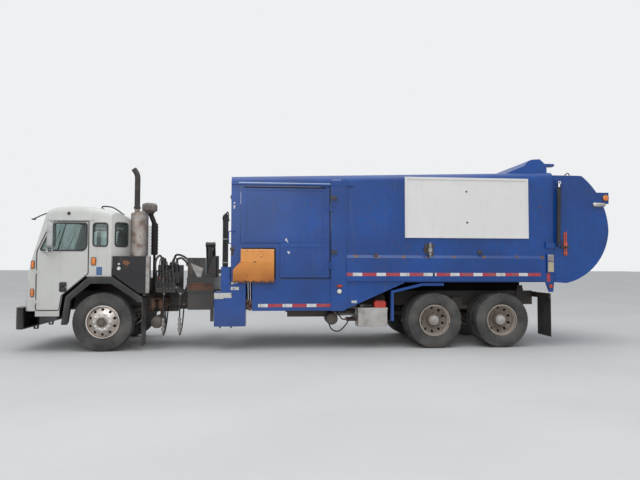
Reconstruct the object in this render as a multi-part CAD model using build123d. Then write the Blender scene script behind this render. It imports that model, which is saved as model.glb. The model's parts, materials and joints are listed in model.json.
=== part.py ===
from build123d import *
import math
import os

# Automated side-loading refuse truck, three axles, low cab ahead of the front axle.
# Millimetres, Z up, front of the truck towards -X, right (loading) side towards +Y.
# "Station" below is the distance behind the front axle; height is above the ground.
os.makedirs("parts", exist_ok=True)

# Driving sizes
FRONT_AXLE_X = -4060.0      # places station 0 so that the whole truck is centred on X = 0
REAR_AXLES = (6130.0, 7451.0)
MOVING_GAP = 6.0            # room left round anything that moves
BEARING_GAP = 0.3           # radial room between a pin and its bore

# frame
RAIL_OUT, RAIL_WIDE, RAIL_THICK = 430.0, 80.0, 12.0
RAIL_LOW, RAIL_TOP = 770.0, 1050.0
RAIL_START, RAIL_END = -1290.0, 8420.0
RAIL_IN = RAIL_OUT - RAIL_THICK
REAR_BAR = RAIL_END + 22.0  # rear face of the bar across the end of the rails

# towing eyes: (station, height) of the hole, its radius, and the plate's inner and outer faces
TOW_HOLE, TOW_HOLE_R, TOW_Y = (-1450.0, 370.0), 20.0, (360.0, 390.0)

# front wheels and axle
FRONT_R, FRONT_W = 530.0, 312.0
FRONT_Y = 1030.0
KINGPIN_Y, KINGPIN_R = 880.0, 22.0
SPINDLE_R = 40.0
# rear wheels and axles
REAR_R, REAR_W = 523.0, 279.0
DUAL_Y, DUAL_OFFSET = 910.0, 170.0
SHAFT_Z = REAR_R + 40.0     # height of the shaft flanges on the drive axles
PAD_TOP = REAR_R + 67.0     # the rear springs sit here
SEAT_R = 287.0              # radius of the bead seat of every rim
FRONT_RIM_HALF, REAR_RIM_HALF = 115.0, 105.0
HAND_HOLES, HAND_HOLE_R, HAND_HOLE_CIRCLE = 10, 26.0, 223.0

# cab
CAB_HALF, CAB_WALL, CAB_CORNER = 1180.0, 45.0, 120.0
CAB_FRONT, CAB_REAR = -1360.0, 420.0
CAB_BOTTOM, CAB_REAR_BOTTOM = 735.0, 1352.0
CAB_SIDE = [(CAB_FRONT, CAB_BOTTOM), (-740, CAB_BOTTOM), (-700, 1010), (-300, CAB_REAR_BOTTOM),
            (CAB_REAR, CAB_REAR_BOTTOM), (CAB_REAR, 2400), (280, 2500), (40, 2572), (-250, 2622),
            (-560, 2638), (-800, 2616), (-940, 2580), (-1010, 2535), (-1044, 2467),
            (-1290, 1610), (-1345, 1300)]
SCREEN_LINE = ((-1290.0, 1610.0), (-1020.0, 2550.0))     # the sloping front, through two points
WINDOW_CORNER, PANE_CORNER, DOOR_CORNER = 45.0, 47.0, 28.0
TUNNEL_HALF, TUNNEL_TOP = 470.0, 1110.0
CORNER_CUT = 280.0          # the two rear corners of the cab are cut off at 45 degrees
# grille: half width, lower and upper height, number of slats; headlamps: y of each, height, radius
GRILLE_HALF, GRILLE_LOW, GRILLE_TOP, GRILLE_SLATS = 520.0, 860.0, 1330.0, 9
HEADLAMP_Y, HEADLAMP_Z, HEADLAMP_R = (835.0, 975.0), 935.0, 60.0
DOOR_SIDE = [(-1160, 740), (-745, 740), (-710, 1005), (-252, 1400), (-252, 2352),
             (-905, 2352), (-1160, 1800)]
DOOR_WINDOW = [(-1100, 1820), (-340, 1820), (-292, 1900), (-292, 2312), (-868, 2312)]
QUARTER_WINDOW = (-180, 70, 1900, 2315)
GLASS = 8.0
DOOR_AXIS = -1163.0
DOOR_HINGES, DOOR_HINGE_R = (900.0, 1430.0), 12.0
# wing mirrors: head from station, to station, inner y, outer y, lower and upper height
MIRROR_HEAD = (-860.0, -770.0, CAB_HALF + 150.0, CAB_HALF + 340.0, 1870.0, 2300.0)
MIRROR_POST = (-815.0, CAB_HALF + 200.0)               # station and y of the upright tube
MIRROR_ARMS = ((-1040.0, 1790.0), (-840.0, 2332.0))     # station and height at the door
MIRROR_TUBE, MIRROR_END = 10.0, 22.0
MIRROR_ROUND = (-900.0, 1795.0, 80.0)        # station, height and radius of the round mirror

# body
BODY_HALF, BODY_WALL, BODY_ROUND = 1200.0, 36.0, 130.0
FENDER_OUT = BODY_HALF + 15.0   # outer edge of every fender
BODY_FRONT, BODY_REAR = 2285.0, 8500.0
BODY_LOW, ROOF_FRONT, ROOF_REAR = 1250.0, 3215.0, 3400.0
BELT_FACE = BODY_HALF + 45.0    # face of the belt rail along both sides
BELT_LOW = BODY_LOW + 20.0
TILT_AXIS = (8150.0, 1108.0)
TILT_EYE_R = 50.0
SKIRT_IN = BODY_HALF - 60.0
REAR_BAR_HALF = BODY_HALF - 50.0
HOPPER_DOOR = [(3190, 1310), (4135, 1310), (4135, 3030), (2460, 3030), (2460, 1970),
               (3190, 1970)]
LOADING_MOUTH = (2400.0, 4100.0, 2300.0)     # from station, to station, sill height
MOUTH_ROOF_FROM, MOUTH_ROOF_LOW = -700.0, ROOF_FRONT - 115.0
ARM_NOTCH = (BODY_HALF - 350.0, 2950.0)      # inner y and lower height of the front corner's cut

HATCH_AXIS = 4120.0
HATCH_HINGES, HATCH_HINGE_R = (1560.0, 2640.0), 16.0
POST_FACE = BODY_HALF + 25.0
DOOR_PANELS = ((2560.0, 4010.0, 2060.0, 2960.0), (3260.0, 4010.0, 1380.0, 1900.0))
PANEL_DEPTH = 12.0          # the door's two panels lie this deep in its frame
# sign panel: stations, heights, thickness of the sheet and of its rim, width of the rim
SIGN = (5550.0, 7980.0, 2090.0, 3250.0)
SIGN_SHEET, SIGN_RIM, SIGN_RIM_WIDE = 22.0, 38.0, 40.0

# tailgate
GATE_FRONT = BODY_REAR + MOVING_GAP
GATE_AXIS = (BODY_REAR + 5.0, ROOF_REAR + 54.0)
GATE_WALL = 50.0
GATE_EAR_R, GATE_PIN_R = 42.0, 20.0
GATE_RIBS, GATE_RIB_HALF = (-620.0, 0.0, 620.0), 30.0

# cylinders: (pin station, pin height) of the fixed eye and of the moving eye
HOIST_BASE, HOIST_TIP = (5200.0, 850.0), (2700.0, 1150.0)
HOIST_R, HOIST_ROD_R = 75.0, 45.0
RAM_BASE, RAM_TIP = (8560.0, 1970.0), (8590.0, 3180.0)
RAM_R, RAM_ROD_R, RAM_Y = 36.0, 20.0, BODY_HALF + 70.0
RAM_LUG = (RAM_Y - 42.0, RAM_Y - 30.0, 40.0, 25.0)      # inner y, outer y, depth below, above

# loading arm
BOOM_S, BOOM_LOW, BOOM_TOP = (1450.0, 1950.0), 1050.0, 1330.0
BOOM_WALL = 14.0
BOOM_LEFT, BOOM_RIGHT = -900.0, BODY_HALF - 320.0
ARM_AXIS = (BOOM_RIGHT + 65.0, 2000.0)       # across position and height of the lifting pivot
ARM_S = (1600.0, 1800.0)
ARM_IN, ARM_OUT = BOOM_RIGHT + 150.0, BOOM_RIGHT + 250.0     # faces of the upright beam
ARM_PIN_R = 30.0
GRIP_S, GRIP_Y, GRIP_PIN_R = (2350.0, 2850.0), BODY_HALF + 190.0, 20.0
GRIP_LOW, GRIP_TOP = 860.0, 970.0
GRIP_BAR = (GRIP_Y - 140.0, GRIP_Y - 60.0)
HOSE_MAST = (2095.0, 2195.0, -730.0, -600.0)


# Shape helpers
def at_x(station):
    return station + FRONT_AXLE_X


def block(s0, s1, y0, y1, z0, z1):
    centre = (at_x((s0 + s1) / 2), (y0 + y1) / 2, (z0 + z1) / 2)
    return Pos(*centre) * Box(abs(s1 - s0), abs(y1 - y0), abs(z1 - z0))


def slab(points, y0, y1):
    """A side-view outline given as (station, height), carried from y0 to y1."""
    corners = [Vector(at_x(s), y0, z) for s, z in points]
    return Solid.extrude(Face(Wire.make_polygon(corners, close=True)), Vector(0, y1 - y0, 0))


def wall(points, s0, s1):
    """A front-view outline given as (y, height), carried from station s0 to s1."""
    corners = [Vector(at_x(s0), y, z) for y, z in points]
    return Solid.extrude(Face(Wire.make_polygon(corners, close=True)), Vector(s1 - s0, 0, 0))


def plan(points, z0, z1):
    """A plan outline given as (station, y), carried from z0 to z1."""
    corners = [Vector(at_x(s), y, z0) for s, y in points]
    return Solid.extrude(Face(Wire.make_polygon(corners, close=True)), Vector(0, 0, z1 - z0))


def rod(p, q, radius):
    """A round bar between two points given as (station, y, height)."""
    start = Vector(at_x(p[0]), p[1], p[2])
    line = Vector(at_x(q[0]), q[1], q[2]) - start
    return Solid.make_cylinder(radius, line.length, Plane(origin=start, z_dir=line))


def across(station, height, y0, y1, radius):
    return rod((station, y0, height), (station, y1, height), radius)


def upright(station, y, z0, z1, radius):
    return rod((station, y, z0), (station, y, z1), radius)


def area(points):
    pairs = zip(points, points[1:] + points[:1])
    return sum(a[0] * b[1] - b[0] * a[1] for a, b in pairs) / 2


def inset(points, depth):
    """The same outline moved inwards by depth, corner by corner."""
    turn = 1.0 if area(points) > 0 else -1.0
    lines = []
    for a, b in zip(points, points[1:] + points[:1]):
        dx, dz = b[0] - a[0], b[1] - a[1]
        size = math.hypot(dx, dz)
        shift = (-dz / size * depth * turn, dx / size * depth * turn)
        lines.append(((a[0] + shift[0], a[1] + shift[1]), (dx, dz)))
    result = []
    for (p, d), (q, e) in zip(lines[-1:] + lines[:-1], lines):
        cross = d[0] * e[1] - d[1] * e[0]
        step = ((q[0] - p[0]) * e[1] - (q[1] - p[1]) * e[0]) / cross
        result.append((p[0] + d[0] * step, p[1] + d[1] * step))
    return result


def ribbon(path, thickness):
    """A closed outline that follows an open path with the given thickness."""
    sides = []
    for half in (thickness / 2, -thickness / 2):
        line = []
        for i, p in enumerate(path):
            before = path[max(i - 1, 0)]
            after = path[min(i + 1, len(path) - 1)]
            normals = []
            for a, b in ((before, p), (p, after)):
                dx, dz = b[0] - a[0], b[1] - a[1]
                size = math.hypot(dx, dz)
                if size > 0:
                    normals.append((-dz / size, dx / size))
            nx = sum(n[0] for n in normals) / len(normals)
            nz = sum(n[1] for n in normals) / len(normals)
            scale = half / (nx * nx + nz * nz)
            line.append((p[0] + nx * scale, p[1] + nz * scale))
        sides.append(line)
    return sides[0] + sides[1][::-1]


def turned(profile, station, y, height, side):
    """A ring from a profile of (radius, outboard distance) points round a wheel centre."""
    x = at_x(station)
    corners = [Vector(x, y + side * out, height + r) for r, out in profile]
    face = Face(Wire.make_polygon(corners, close=True))
    return Solid.revolve(face, 360, Axis((x, y, height), (0, 1, 0)))


def spun(profile, station, y):
    """A solid from a profile of (radius, height) points round an upright line."""
    x = at_x(station)
    face = Face(Wire.make_polygon([Vector(x + r, y, z) for r, z in profile], close=True))
    return Solid.revolve(face, 360, Axis((x, y, 0), (0, 0, 1)))


def save(name, *shapes):
    shape = shapes[0] if len(shapes) == 1 else Compound(children=list(shapes))
    export_step(shape, f"parts/{name}.step")


def on_side(side, y0, y1):
    """A pair of y values on the left (-1) or right (+1), in rising order."""
    return tuple(sorted((side * y0, side * y1)))


def strap_hinge(station, skin, fixed_skin, z, side, to_door, radius):
    """Fixed half with its pin, and moving half, of one hinge with an upright pin."""
    y = side * (skin + radius + 2)
    gap = BEARING_GAP
    fixed = upright(station, y, z - 60, z + 60, radius / 2)
    for z0, z1 in ((z - 60, z - 25), (z + 25, z + 60)):
        fixed += upright(station, y, z0, z1, radius)
        leaf = on_side(side, fixed_skin - 1, fixed_skin + radius * 0.7)
        fixed += block(*sorted((station, station - to_door * 70)), *leaf, z0, z1)
    moving = upright(station, y, z - 25 + gap, z + 25 - gap, radius)
    leaf = on_side(side, skin - 1, skin + radius * 0.7)
    moving += block(*sorted((station, station + to_door * 70)), *leaf, z - 25 + gap, z + 25 - gap)
    moving -= upright(station, y, z - 30, z + 30, radius / 2 + gap)
    return fixed, moving


def mirrored(shape):
    return shape.mirror(Plane.XZ)


# Frame and running gear
def frame():
    rail_out = [(RAIL_OUT, RAIL_LOW), (RAIL_OUT, RAIL_TOP), (RAIL_OUT - RAIL_WIDE, RAIL_TOP),
                (RAIL_OUT - RAIL_WIDE, RAIL_TOP - RAIL_THICK), (RAIL_IN, RAIL_TOP - RAIL_THICK),
                (RAIL_IN, RAIL_LOW + RAIL_THICK), (RAIL_OUT - RAIL_WIDE, RAIL_LOW + RAIL_THICK),
                (RAIL_OUT - RAIL_WIDE, RAIL_LOW)]
    rail = wall(rail_out, RAIL_START, RAIL_END)
    # brackets that carry side equipment: station, station, y end, heights, side
    brackets = [(700, 750, 1150, 1000, 1050, -1), (540, 600, 870, 1000, 1050, -1),
                (2100, 2180, 770, 800, 880, -1), (2400, 2480, 770, 800, 880, -1),
                (4700, 4760, 1150, 770, 830, -1), (5100, 5160, 1150, 770, 830, -1),
                (4600, 4660, 560, 790, 850, 1), (5040, 5100, 560, 790, 850, 1),
                (5298, 5340, 700, 960, 1040, -1), (5298, 5340, 700, 960, 1040, 1)]
    rails = []
    for side in (-1, 1):
        shape = rail if side > 0 else mirrored(rail)
        # cab mounts and bumper horns
        y0, y1 = on_side(side, RAIL_OUT - RAIL_WIDE, RAIL_OUT)
        shape += block(-900, -800, y0, y1, RAIL_TOP, TUNNEL_TOP)
        shape += block(200, 300, y0, y1, RAIL_TOP, CAB_REAR_BOTTOM)
        shape += block(CAB_FRONT - MOVING_GAP, -1180, y0, y1, 600, 725)
        shape += block(-1280, -1180, y0, y1, 700, RAIL_LOW + 5)
        # ears of the tilting hinge stand outside the body sills
        y0, y1 = on_side(side, RAIL_OUT + MOVING_GAP, RAIL_OUT + 26)
        ear = slab([(8060, 960), (8240, 960), (8200, 1165), (8100, 1165)], y0, y1)
        shape += ear
        y0, y1 = on_side(side, RAIL_OUT - 1, RAIL_OUT + 26)
        shape += block(8060, 8240, y0, y1, 900, 1000)
        y0, y1 = on_side(side, RAIL_OUT - RAIL_WIDE - 10, RAIL_OUT + 36)
        shape += across(TILT_AXIS[0], TILT_AXIS[1], y0, y1, 25)
        for s0, s1, end, z0, z1, place in brackets:
            if place == side:
                shape += block(s0, s1, *on_side(side, RAIL_OUT - 1, end), z0, z1)
        rails.append(shape)
    save("chassis_frame", *rails)


def crossmembers():
    # from station, to station, lower height, upper height
    members = [(-1250, -1190, 800, 1020), (1420, 1480, 840, 1020), (2330, 2390, 800, 1020),
               (5700, 5760, 800, 1020), (6760, 6820, 800, 1020), (8060, 8120, 800, 1020)]
    bars = [block(s0, s1, -RAIL_IN, RAIL_IN, z0, z1) for s0, s1, z0, z1 in members]
    # bar across the rear end that carries the mudflaps
    bars.append(block(RAIL_END, REAR_BAR, -REAR_BAR_HALF, REAR_BAR_HALF, 930, 1030))
    # member with the lugs and the pin of the hoist
    base_s, base_z = HOIST_BASE
    hoist = block(base_s + 90, base_s + 150, -RAIL_IN, RAIL_IN, 790, 1020)
    for side in (-1, 1):
        hoist += slab([(base_s + 91, 790), (base_s + 91, 950), (base_s, base_z + 50),
                       (base_s - 50, base_z), (base_s, base_z - 50)], *on_side(side, 45, 65))
    hoist += across(base_s, base_z, -70, 70, 25)
    save("crossmembers", *bars, hoist)


def front_axle():
    beam = wall([(-835, 470), (-560, 470), (-300, 400), (300, 400), (560, 470), (835, 470),
                 (835, 560), (560, 560), (450, 590), (330, 590), (300, 500), (-300, 500),
                 (-330, 590), (-450, 590), (-560, 560), (-835, 560)], -50, 50)
    for side in (-1, 1):
        beam += upright(0, side * KINGPIN_Y, 465, 575, 55)
        beam -= upright(0, side * KINGPIN_Y, 450, 590, KINGPIN_R + BEARING_GAP)
    save("front_axle", beam)


def springs():
    # front pair between axle and rails, rear pair across the two drive axles
    front = [(-820, 700), (-700, 700), (-110, 590), (110, 590), (700, 700), (820, 700),
             (820, RAIL_LOW), (690, RAIL_LOW - 5), (110, 655), (-110, 655), (-690, RAIL_LOW - 5),
             (-820, RAIL_LOW)]
    a, b = REAR_AXLES
    mid = (a + b) / 2
    low, end = PAD_TOP, PAD_TOP + 55
    rear = [(a - 60, low), (a + 60, low), (mid - 240, RAIL_LOW - 80), (mid + 240, RAIL_LOW - 80),
            (b - 60, low), (b + 60, low), (b + 60, end), (mid + 260, RAIL_LOW),
            (mid - 260, RAIL_LOW), (a - 60, end)]
    shapes = []
    for side in (-1, 1):
        y0, y1 = on_side(side, RAIL_OUT - RAIL_WIDE, RAIL_OUT)
        shapes.append(slab(front, y0, y1))
        y0, y1 = on_side(side, RAIL_OUT, RAIL_OUT + 110)
        pack = slab(rear, y0, y1)
        pack += block(mid - 100, mid + 100, y0, y1, RAIL_LOW - 10, RAIL_TOP - 120)
        shapes.append(pack)
    save("leaf_springs", *shapes)


def drive_axles():
    shapes = []
    for s in REAR_AXLES:
        tube = across(s, REAR_R, -640, 640, 65)
        tube += across(s, REAR_R, -DUAL_Y - 180, DUAL_Y + 180, 45)
        bowl = Pos(at_x(s), 0, REAR_R) * Sphere(185)
        tube += bowl & block(s - 200, s + 200, -130, 130, 0, 1000)
        tube += rod((s - 120, 0, SHAFT_Z), (s - 250, 0, SHAFT_Z), 70)
        if s == REAR_AXLES[0]:
            tube += rod((s + 120, 0, SHAFT_Z), (s + 215, 0, SHAFT_Z), 60)
        for side in (-1, 1):
            y0, y1 = on_side(side, RAIL_OUT + 20, RAIL_OUT + 100)
            tube += block(s - 60, s + 60, y0, y1, REAR_R - 40, PAD_TOP)
        shapes.append(tube)
    save("drive_axles", *shapes)


def drivetrain():
    engine = slab([(-650, 610), (750, 610), (750, 1300), (-250, 1300), (-250, 1080),
                   (-650, 1080)], -300, 300)
    # gearbox behind the engine
    engine += block(749, 1180, -210, 210, 640, 1010) + block(1179, 1380, -130, 130, 680, 900)
    save("engine", engine)
    first, second = REAR_AXLES
    shaft = rod((1400, 0, 760), (first - 270, 0, SHAFT_Z), 45)
    shaft += rod((1380, 0, 760), (1410, 0, 760), 65)
    shaft += rod((first - 280, 0, SHAFT_Z), (first - 250, 0, SHAFT_Z), 65)
    between = rod((first + 215, 0, SHAFT_Z), (second - 250, 0, SHAFT_Z), 38)
    save("drive_shafts", shaft, between)


def bumper():
    back = CAB_FRONT - MOVING_GAP
    half = CAB_HALF + 15
    outline = [(-1530, 300 - half), (-1490, 45 - half), (-1430, -half), (back, -half),
               (back, half), (-1430, half), (-1490, half - 45), (-1530, half - 300)]
    shape = plan(outline, 410, 800)
    inner = plan([(-1518, 310 - half), (-1480, 55 - half), (back, 55 - half), (back, half - 55),
                  (-1480, half - 55), (-1518, half - 310)], 430, 780)
    shape -= inner
    shape += block(back - 30, back, -RAIL_OUT - 20, RAIL_OUT + 20, 425, 785)
    # towing eyes under the bumper
    for side in (-1, 1):
        eye_y = on_side(side, *TOW_Y)
        shape += slab([(-1505, 415), (-1395, 415), (-1410, 330), (-1490, 330)], *eye_y)
        shape -= across(*TOW_HOLE, eye_y[0] - 5, eye_y[1] + 5, TOW_HOLE_R)
    save("bumper", shape)


# Wheels
def rim_barrel(half):
    return [(298, -half), (298, 8 - half), (SEAT_R, 12 - half), (SEAT_R, -50), (266, -30),
            (266, 38), (SEAT_R, 58), (SEAT_R, half - 12), (298, half - 8), (298, half),
            (278, half), (278, 62), (257, 42), (257, -34), (278, -54), (278, -half)]


def tyre(radius, width, half, station, y, height, side):
    w, out = width / 2, SEAT_R + BEARING_GAP
    bead = half - 13
    profile = [(out, bead), (304, bead), (330, w - 16), (390, w), (430, w - 2),
               (radius - 38, w - 14), (radius - 8, w - 30), (radius, w - 46)]
    cavity = [(radius - 24, w - 60), (radius - 60, w - 34), (400, w - 22), (330, w - 38),
              (304, bead - 22), (out, bead - 22)]
    ring = profile + [(r, -o) for r, o in reversed(profile)]
    ring += [(r, -o) for r, o in reversed(cavity)] + cavity
    return turned(ring, station, y, height, side)


def hand_holes(shape, station, y, height, reach):
    for i in range(HAND_HOLES):
        a = 2 * math.pi * (i + 0.5) / HAND_HOLES
        s = station + HAND_HOLE_CIRCLE * math.cos(a)
        z = height + HAND_HOLE_CIRCLE * math.sin(a)
        shape -= across(s, z, y - reach, y + reach, HAND_HOLE_R)
    return shape


def front_wheel(side, name):
    y = side * FRONT_Y
    place = (0, y, FRONT_R, side)
    rim = turned(rim_barrel(FRONT_RIM_HALF), *place)
    disc = turned([(275, 50), (275, 76), (160, 152), (100, 152), (100, 130), (150, 130)], *place)
    rim += hand_holes(disc, 0, y, FRONT_R, 200)
    inner = SPINDLE_R + BEARING_GAP
    rim += turned([(inner, -20), (90, -20), (90, 60), (165, 112), (165, 131), (90, 131),
                   (90, 185), (0, 195), (0, 124), (inner, 124)], *place)
    rim += turned([(205, -100), (205, 20), (90, 34), (90, 22), (188, 8), (188, -100)], *place)
    save(f"front_wheel_{name}", rim)
    save(f"front_tyre_{name}", tyre(FRONT_R, FRONT_W, FRONT_RIM_HALF, *place))


def knuckle(side, name):
    y = side * KINGPIN_Y
    shape = upright(0, y, 405, 635, KINGPIN_R)
    for z0, z1 in ((405, 459), (581, 635)):
        shape += upright(0, y, z0, z1, 50)
        y0, y1 = on_side(side, KINGPIN_Y, KINGPIN_Y + 90)
        shape += block(-45, 45, y0, y1, z0, z1)
    y0, y1 = on_side(side, KINGPIN_Y + 62, KINGPIN_Y + 118)
    shape += block(-60, 60, y0, y1, 405, 635)
    y0, y1 = on_side(side, KINGPIN_Y + 100, FRONT_Y + 120)
    shape += across(0, FRONT_R, y0, y1, SPINDLE_R)
    y0, y1 = on_side(side, KINGPIN_Y - 30, KINGPIN_Y + 30)
    shape += block(0, 230, y0, y1, 405, 440)
    save(f"knuckle_{name}", shape)


def rear_wheels(station, side, name):
    y = side * DUAL_Y
    place = (station, y, REAR_R, side)
    outer = [(278, 96), (278, 120), (168, 24), (105, 24), (105, 0), (176, 0)]
    disc = turned(outer, *place) + turned([(r, -o) for r, o in outer], *place)
    disc = hand_holes(disc, station, y, REAR_R, 125)
    for offset in (DUAL_OFFSET, -DUAL_OFFSET):
        barrel = rim_barrel(REAR_RIM_HALF)
        shifted = [(r, (o if offset > 0 else -o) + offset) for r, o in barrel]
        disc += turned(shifted, *place)
    inner = 45 + BEARING_GAP
    disc += turned([(inner, -230), (95, -230), (105, -46), (165, -46), (165, -24), (105, -24),
                    (105, 150), (92, 215), (0, 220), (0, 183), (inner, 183)], *place)
    disc += turned([(208, -250), (208, -60), (100, -44), (100, -56), (190, -72), (190, -250)],
                   *place)
    save(f"dual_wheels_{name}", disc)
    tyres = [tyre(REAR_R, REAR_W, REAR_RIM_HALF, station, y + side * o, REAR_R, side)
             for o in (DUAL_OFFSET, -DUAL_OFFSET)]
    save(f"dual_tyres_{name}", *tyres)


# Cab
def rounded_slab(points, half, radius):
    shape = slab(points, -half, half)
    rear_x = max(at_x(s) for s, z in points) - 1
    low_z = CAB_REAR_BOTTOM + 60
    edges = [e for e in shape.edges()
             if abs(abs(e.center().Y) - half) < 1 and e.center().X < rear_x
             and (e.center().Z > low_z or e.center().X < at_x(-1290))]
    return fillet(edges, radius)


def cab_outer(points, half, radius, cut):
    shape = rounded_slab(points, half, radius)
    rear = max(s for s, z in points)
    for side in (-1, 1):
        corner = [(rear - cut, side * half), (rear + 50, side * half), (rear + 50, side * (half - cut)),
                  (rear, side * (half - cut))]
        shape -= plan(corner, 1000, 3000)
    return shape


def along_line(shape, direction):
    """The edges of a shape that run along a direction."""
    way = Vector(*direction).normalized()
    return [e for e in shape.edges() if abs((e @ 1 - e @ 0).normalized().dot(way)) > 0.999]


def window(outline, y0, y1, corner):
    """A side window's outline with rounded corners, carried from y0 to y1."""
    shape = slab(outline, y0, y1)
    return fillet(along_line(shape, (0, 1, 0)), corner)


def corner_pane(side, depth0, depth1, corner):
    """A slab set parallel to the cut rear corner, between two depths under its face."""
    s, y = CAB_REAR - CORNER_CUT, CAB_HALF
    along = (math.sqrt(0.5), -math.sqrt(0.5))
    under = (-math.sqrt(0.5), -math.sqrt(0.5))
    length = CORNER_CUT * math.sqrt(2)
    t0, t1 = 75, length - 75
    corners = []
    for t, d in ((t0, depth0), (t1, depth0), (t1, depth1), (t0, depth1)):
        corners.append((s + along[0] * t + under[0] * d, side * (y + along[1] * t + under[1] * d)))
    shape = plan(corners, 1900, 2330)
    return fillet(along_line(shape, (under[0], side * under[1], 0)), corner)


def screen(depth0, depth1, corner):
    """A slab parallel to the sloping front, between two depths under its face."""
    low, top = SCREEN_LINE
    dx, dz = top[0] - low[0], top[1] - low[1]
    size = math.hypot(dx, dz)
    along, under = (dx / size, dz / size), (dz / size, -dx / size)
    corners = []
    for t, d in ((90, depth0), (size - 120, depth0), (size - 120, depth1), (90, depth1)):
        corners.append((low[0] + along[0] * t + under[0] * d, low[1] + along[1] * t + under[1] * d))
    return fillet(along_line(slab(corners, -960, 960), (under[0], 0, under[1])), corner)


def cab_front():
    """Grille frame with its sloping slats, and the headlamp housings, on the face of the cab."""
    face, back = CAB_FRONT - 8, CAB_FRONT + 30
    half, low, top, rim = GRILLE_HALF, GRILLE_LOW, GRILLE_TOP, 30
    shape = block(face, back, -half - rim, half + rim, low - rim, top + rim)
    shape -= block(face - 1, CAB_FRONT + 24, -half, half, low, top)
    pitch = (top - low) / GRILLE_SLATS
    for i in range(GRILLE_SLATS):
        z = low + pitch * (i + 0.3)
        shape += slab([(face + 2, z), (back - 4, z + 20), (back - 4, z + 28), (face + 2, z + 8)],
                      -half - 5, half + 5)
    shape += block(face, back, -12, 12, low - 5, top + 5)
    ends = (HEADLAMP_Y[0] - 85, HEADLAMP_Y[1] + 85)
    for side in (-1, 1):
        shape += block(CAB_FRONT - 16, back, *on_side(side, *ends), HEADLAMP_Z - 85, HEADLAMP_Z + 85)
        for y in HEADLAMP_Y:
            shape += rod((CAB_FRONT - 30, side * y, HEADLAMP_Z), (CAB_FRONT - 10, side * y, HEADLAMP_Z),
                         HEADLAMP_R)
    return shape


def cab():
    outer = cab_outer(CAB_SIDE, CAB_HALF, CAB_CORNER, CORNER_CUT)
    inner = cab_outer(inset(CAB_SIDE, CAB_WALL), CAB_HALF - CAB_WALL, CAB_CORNER - 30,
                      CORNER_CUT - 14)
    tunnel_front = CAB_FRONT + CAB_WALL + 20
    inner -= block(CAB_FRONT, CAB_REAR, -TUNNEL_HALF - CAB_WALL, TUNNEL_HALF + CAB_WALL, 700,
                   TUNNEL_TOP + CAB_WALL)
    shell = outer - inner
    shell -= block(tunnel_front, CAB_REAR + 10, -TUNNEL_HALF, TUNNEL_HALF, 700, TUNNEL_TOP)
    grown = inset(DOOR_SIDE, -MOVING_GAP)
    s0, s1, z0, z1 = QUARTER_WINDOW
    quarter = [(s0, z0), (s1, z0), (s1, z1), (s0, z1)]
    for side in (-1, 1):
        y0, y1 = on_side(side, CAB_HALF - CAB_WALL, CAB_HALF + 60)
        shell -= slab(grown, y0, y1)
        shell -= window(quarter, *on_side(side, CAB_HALF - 80, CAB_HALF + 20), WINDOW_CORNER)
        shell -= corner_pane(side, -20, CAB_WALL + 20, WINDOW_CORNER)
        for z in DOOR_HINGES:
            shell += strap_hinge(DOOR_AXIS, CAB_HALF, CAB_HALF, z, side, 1, DOOR_HINGE_R)[0]
    shell -= screen(-40, CAB_WALL + 30, WINDOW_CORNER)
    shell -= block(CAB_FRONT - 5, CAB_FRONT + 24, -GRILLE_HALF, GRILLE_HALF, GRILLE_LOW, GRILLE_TOP)
    rear = block(CAB_REAR - CAB_WALL - 20, CAB_REAR + 20, -480, 480, 1850, 2300)
    shell -= fillet(along_line(rear, (1, 0, 0)), WINDOW_CORNER)
    shell += cab_front()
    for side in (-1, 1):
        shell += block(-980, -150, *on_side(side, CAB_HALF - 1, CAB_HALF + 16), 2364, 2380)
    save("cab_shell", shell)

    panes = [screen(14, 14 + GLASS, PANE_CORNER)]
    middle = CAB_REAR - CAB_WALL / 2
    rear = block(middle - GLASS / 2, middle + GLASS / 2, -480, 480, 1850, 2300)
    panes.append(fillet(along_line(rear, (1, 0, 0)), PANE_CORNER))
    for side in (-1, 1):
        y0, y1 = on_side(side, CAB_HALF - 26, CAB_HALF - 26 + GLASS)
        panes.append(window(quarter, y0, y1, PANE_CORNER))
        panes.append(corner_pane(side, 16, 16 + GLASS, PANE_CORNER))
    save("cab_glass", *panes)

    raw = outer - inner
    for side, name in ((-1, "left"), (1, "right")):
        y0, y1 = on_side(side, CAB_HALF - CAB_WALL, CAB_HALF + 60)
        door = raw & slab(DOOR_SIDE, y0, y1)
        door -= window(DOOR_WINDOW, *on_side(side, CAB_HALF - 80, CAB_HALF + 80), DOOR_CORNER)
        for z in DOOR_HINGES:
            door += strap_hinge(DOOR_AXIS, CAB_HALF, CAB_HALF, z, side, 1, DOOR_HINGE_R)[1]
        save(f"door_{name}", door)
        y0, y1 = on_side(side, CAB_HALF - 30, CAB_HALF - 30 + GLASS)
        save(f"door_glass_{name}", window(DOOR_WINDOW, y0, y1, DOOR_CORNER + 1))


def mirrors():
    s0, s1, near, far, low, top = MIRROR_HEAD
    post_s, post_y = MIRROR_POST
    for side, name in ((-1, "left"), (1, "right")):
        head = block(s0, s1, *on_side(side, near, far), low, top)
        head = fillet(head.edges().filter_by(Axis.X), 45)
        for s, z in MIRROR_ARMS:
            foot = on_side(side, CAB_HALF, CAB_HALF + 14)
            head += block(s - 20, s + 20, *foot, z - 17, z + 17)
            head += rod((s, side * (CAB_HALF + 8), z), (post_s, side * post_y, z), MIRROR_TUBE)
        ends = [z for s, z in MIRROR_ARMS]
        head += upright(post_s, side * post_y, ends[0] - MIRROR_END, ends[1] + MIRROR_END,
                        MIRROR_TUBE + 2)
        round_s, round_z, round_r = MIRROR_ROUND
        head += rod((post_s, side * post_y, round_z), (round_s, side * post_y, round_z), 8)
        bowl = Solid.make_cone(round_r, round_r * 0.35, 45,
                               Plane(origin=(at_x(round_s + 20), side * post_y, round_z),
                                     z_dir=(-1, 0, 0)))
        save(f"mirror_{name}", head + bowl)


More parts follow.
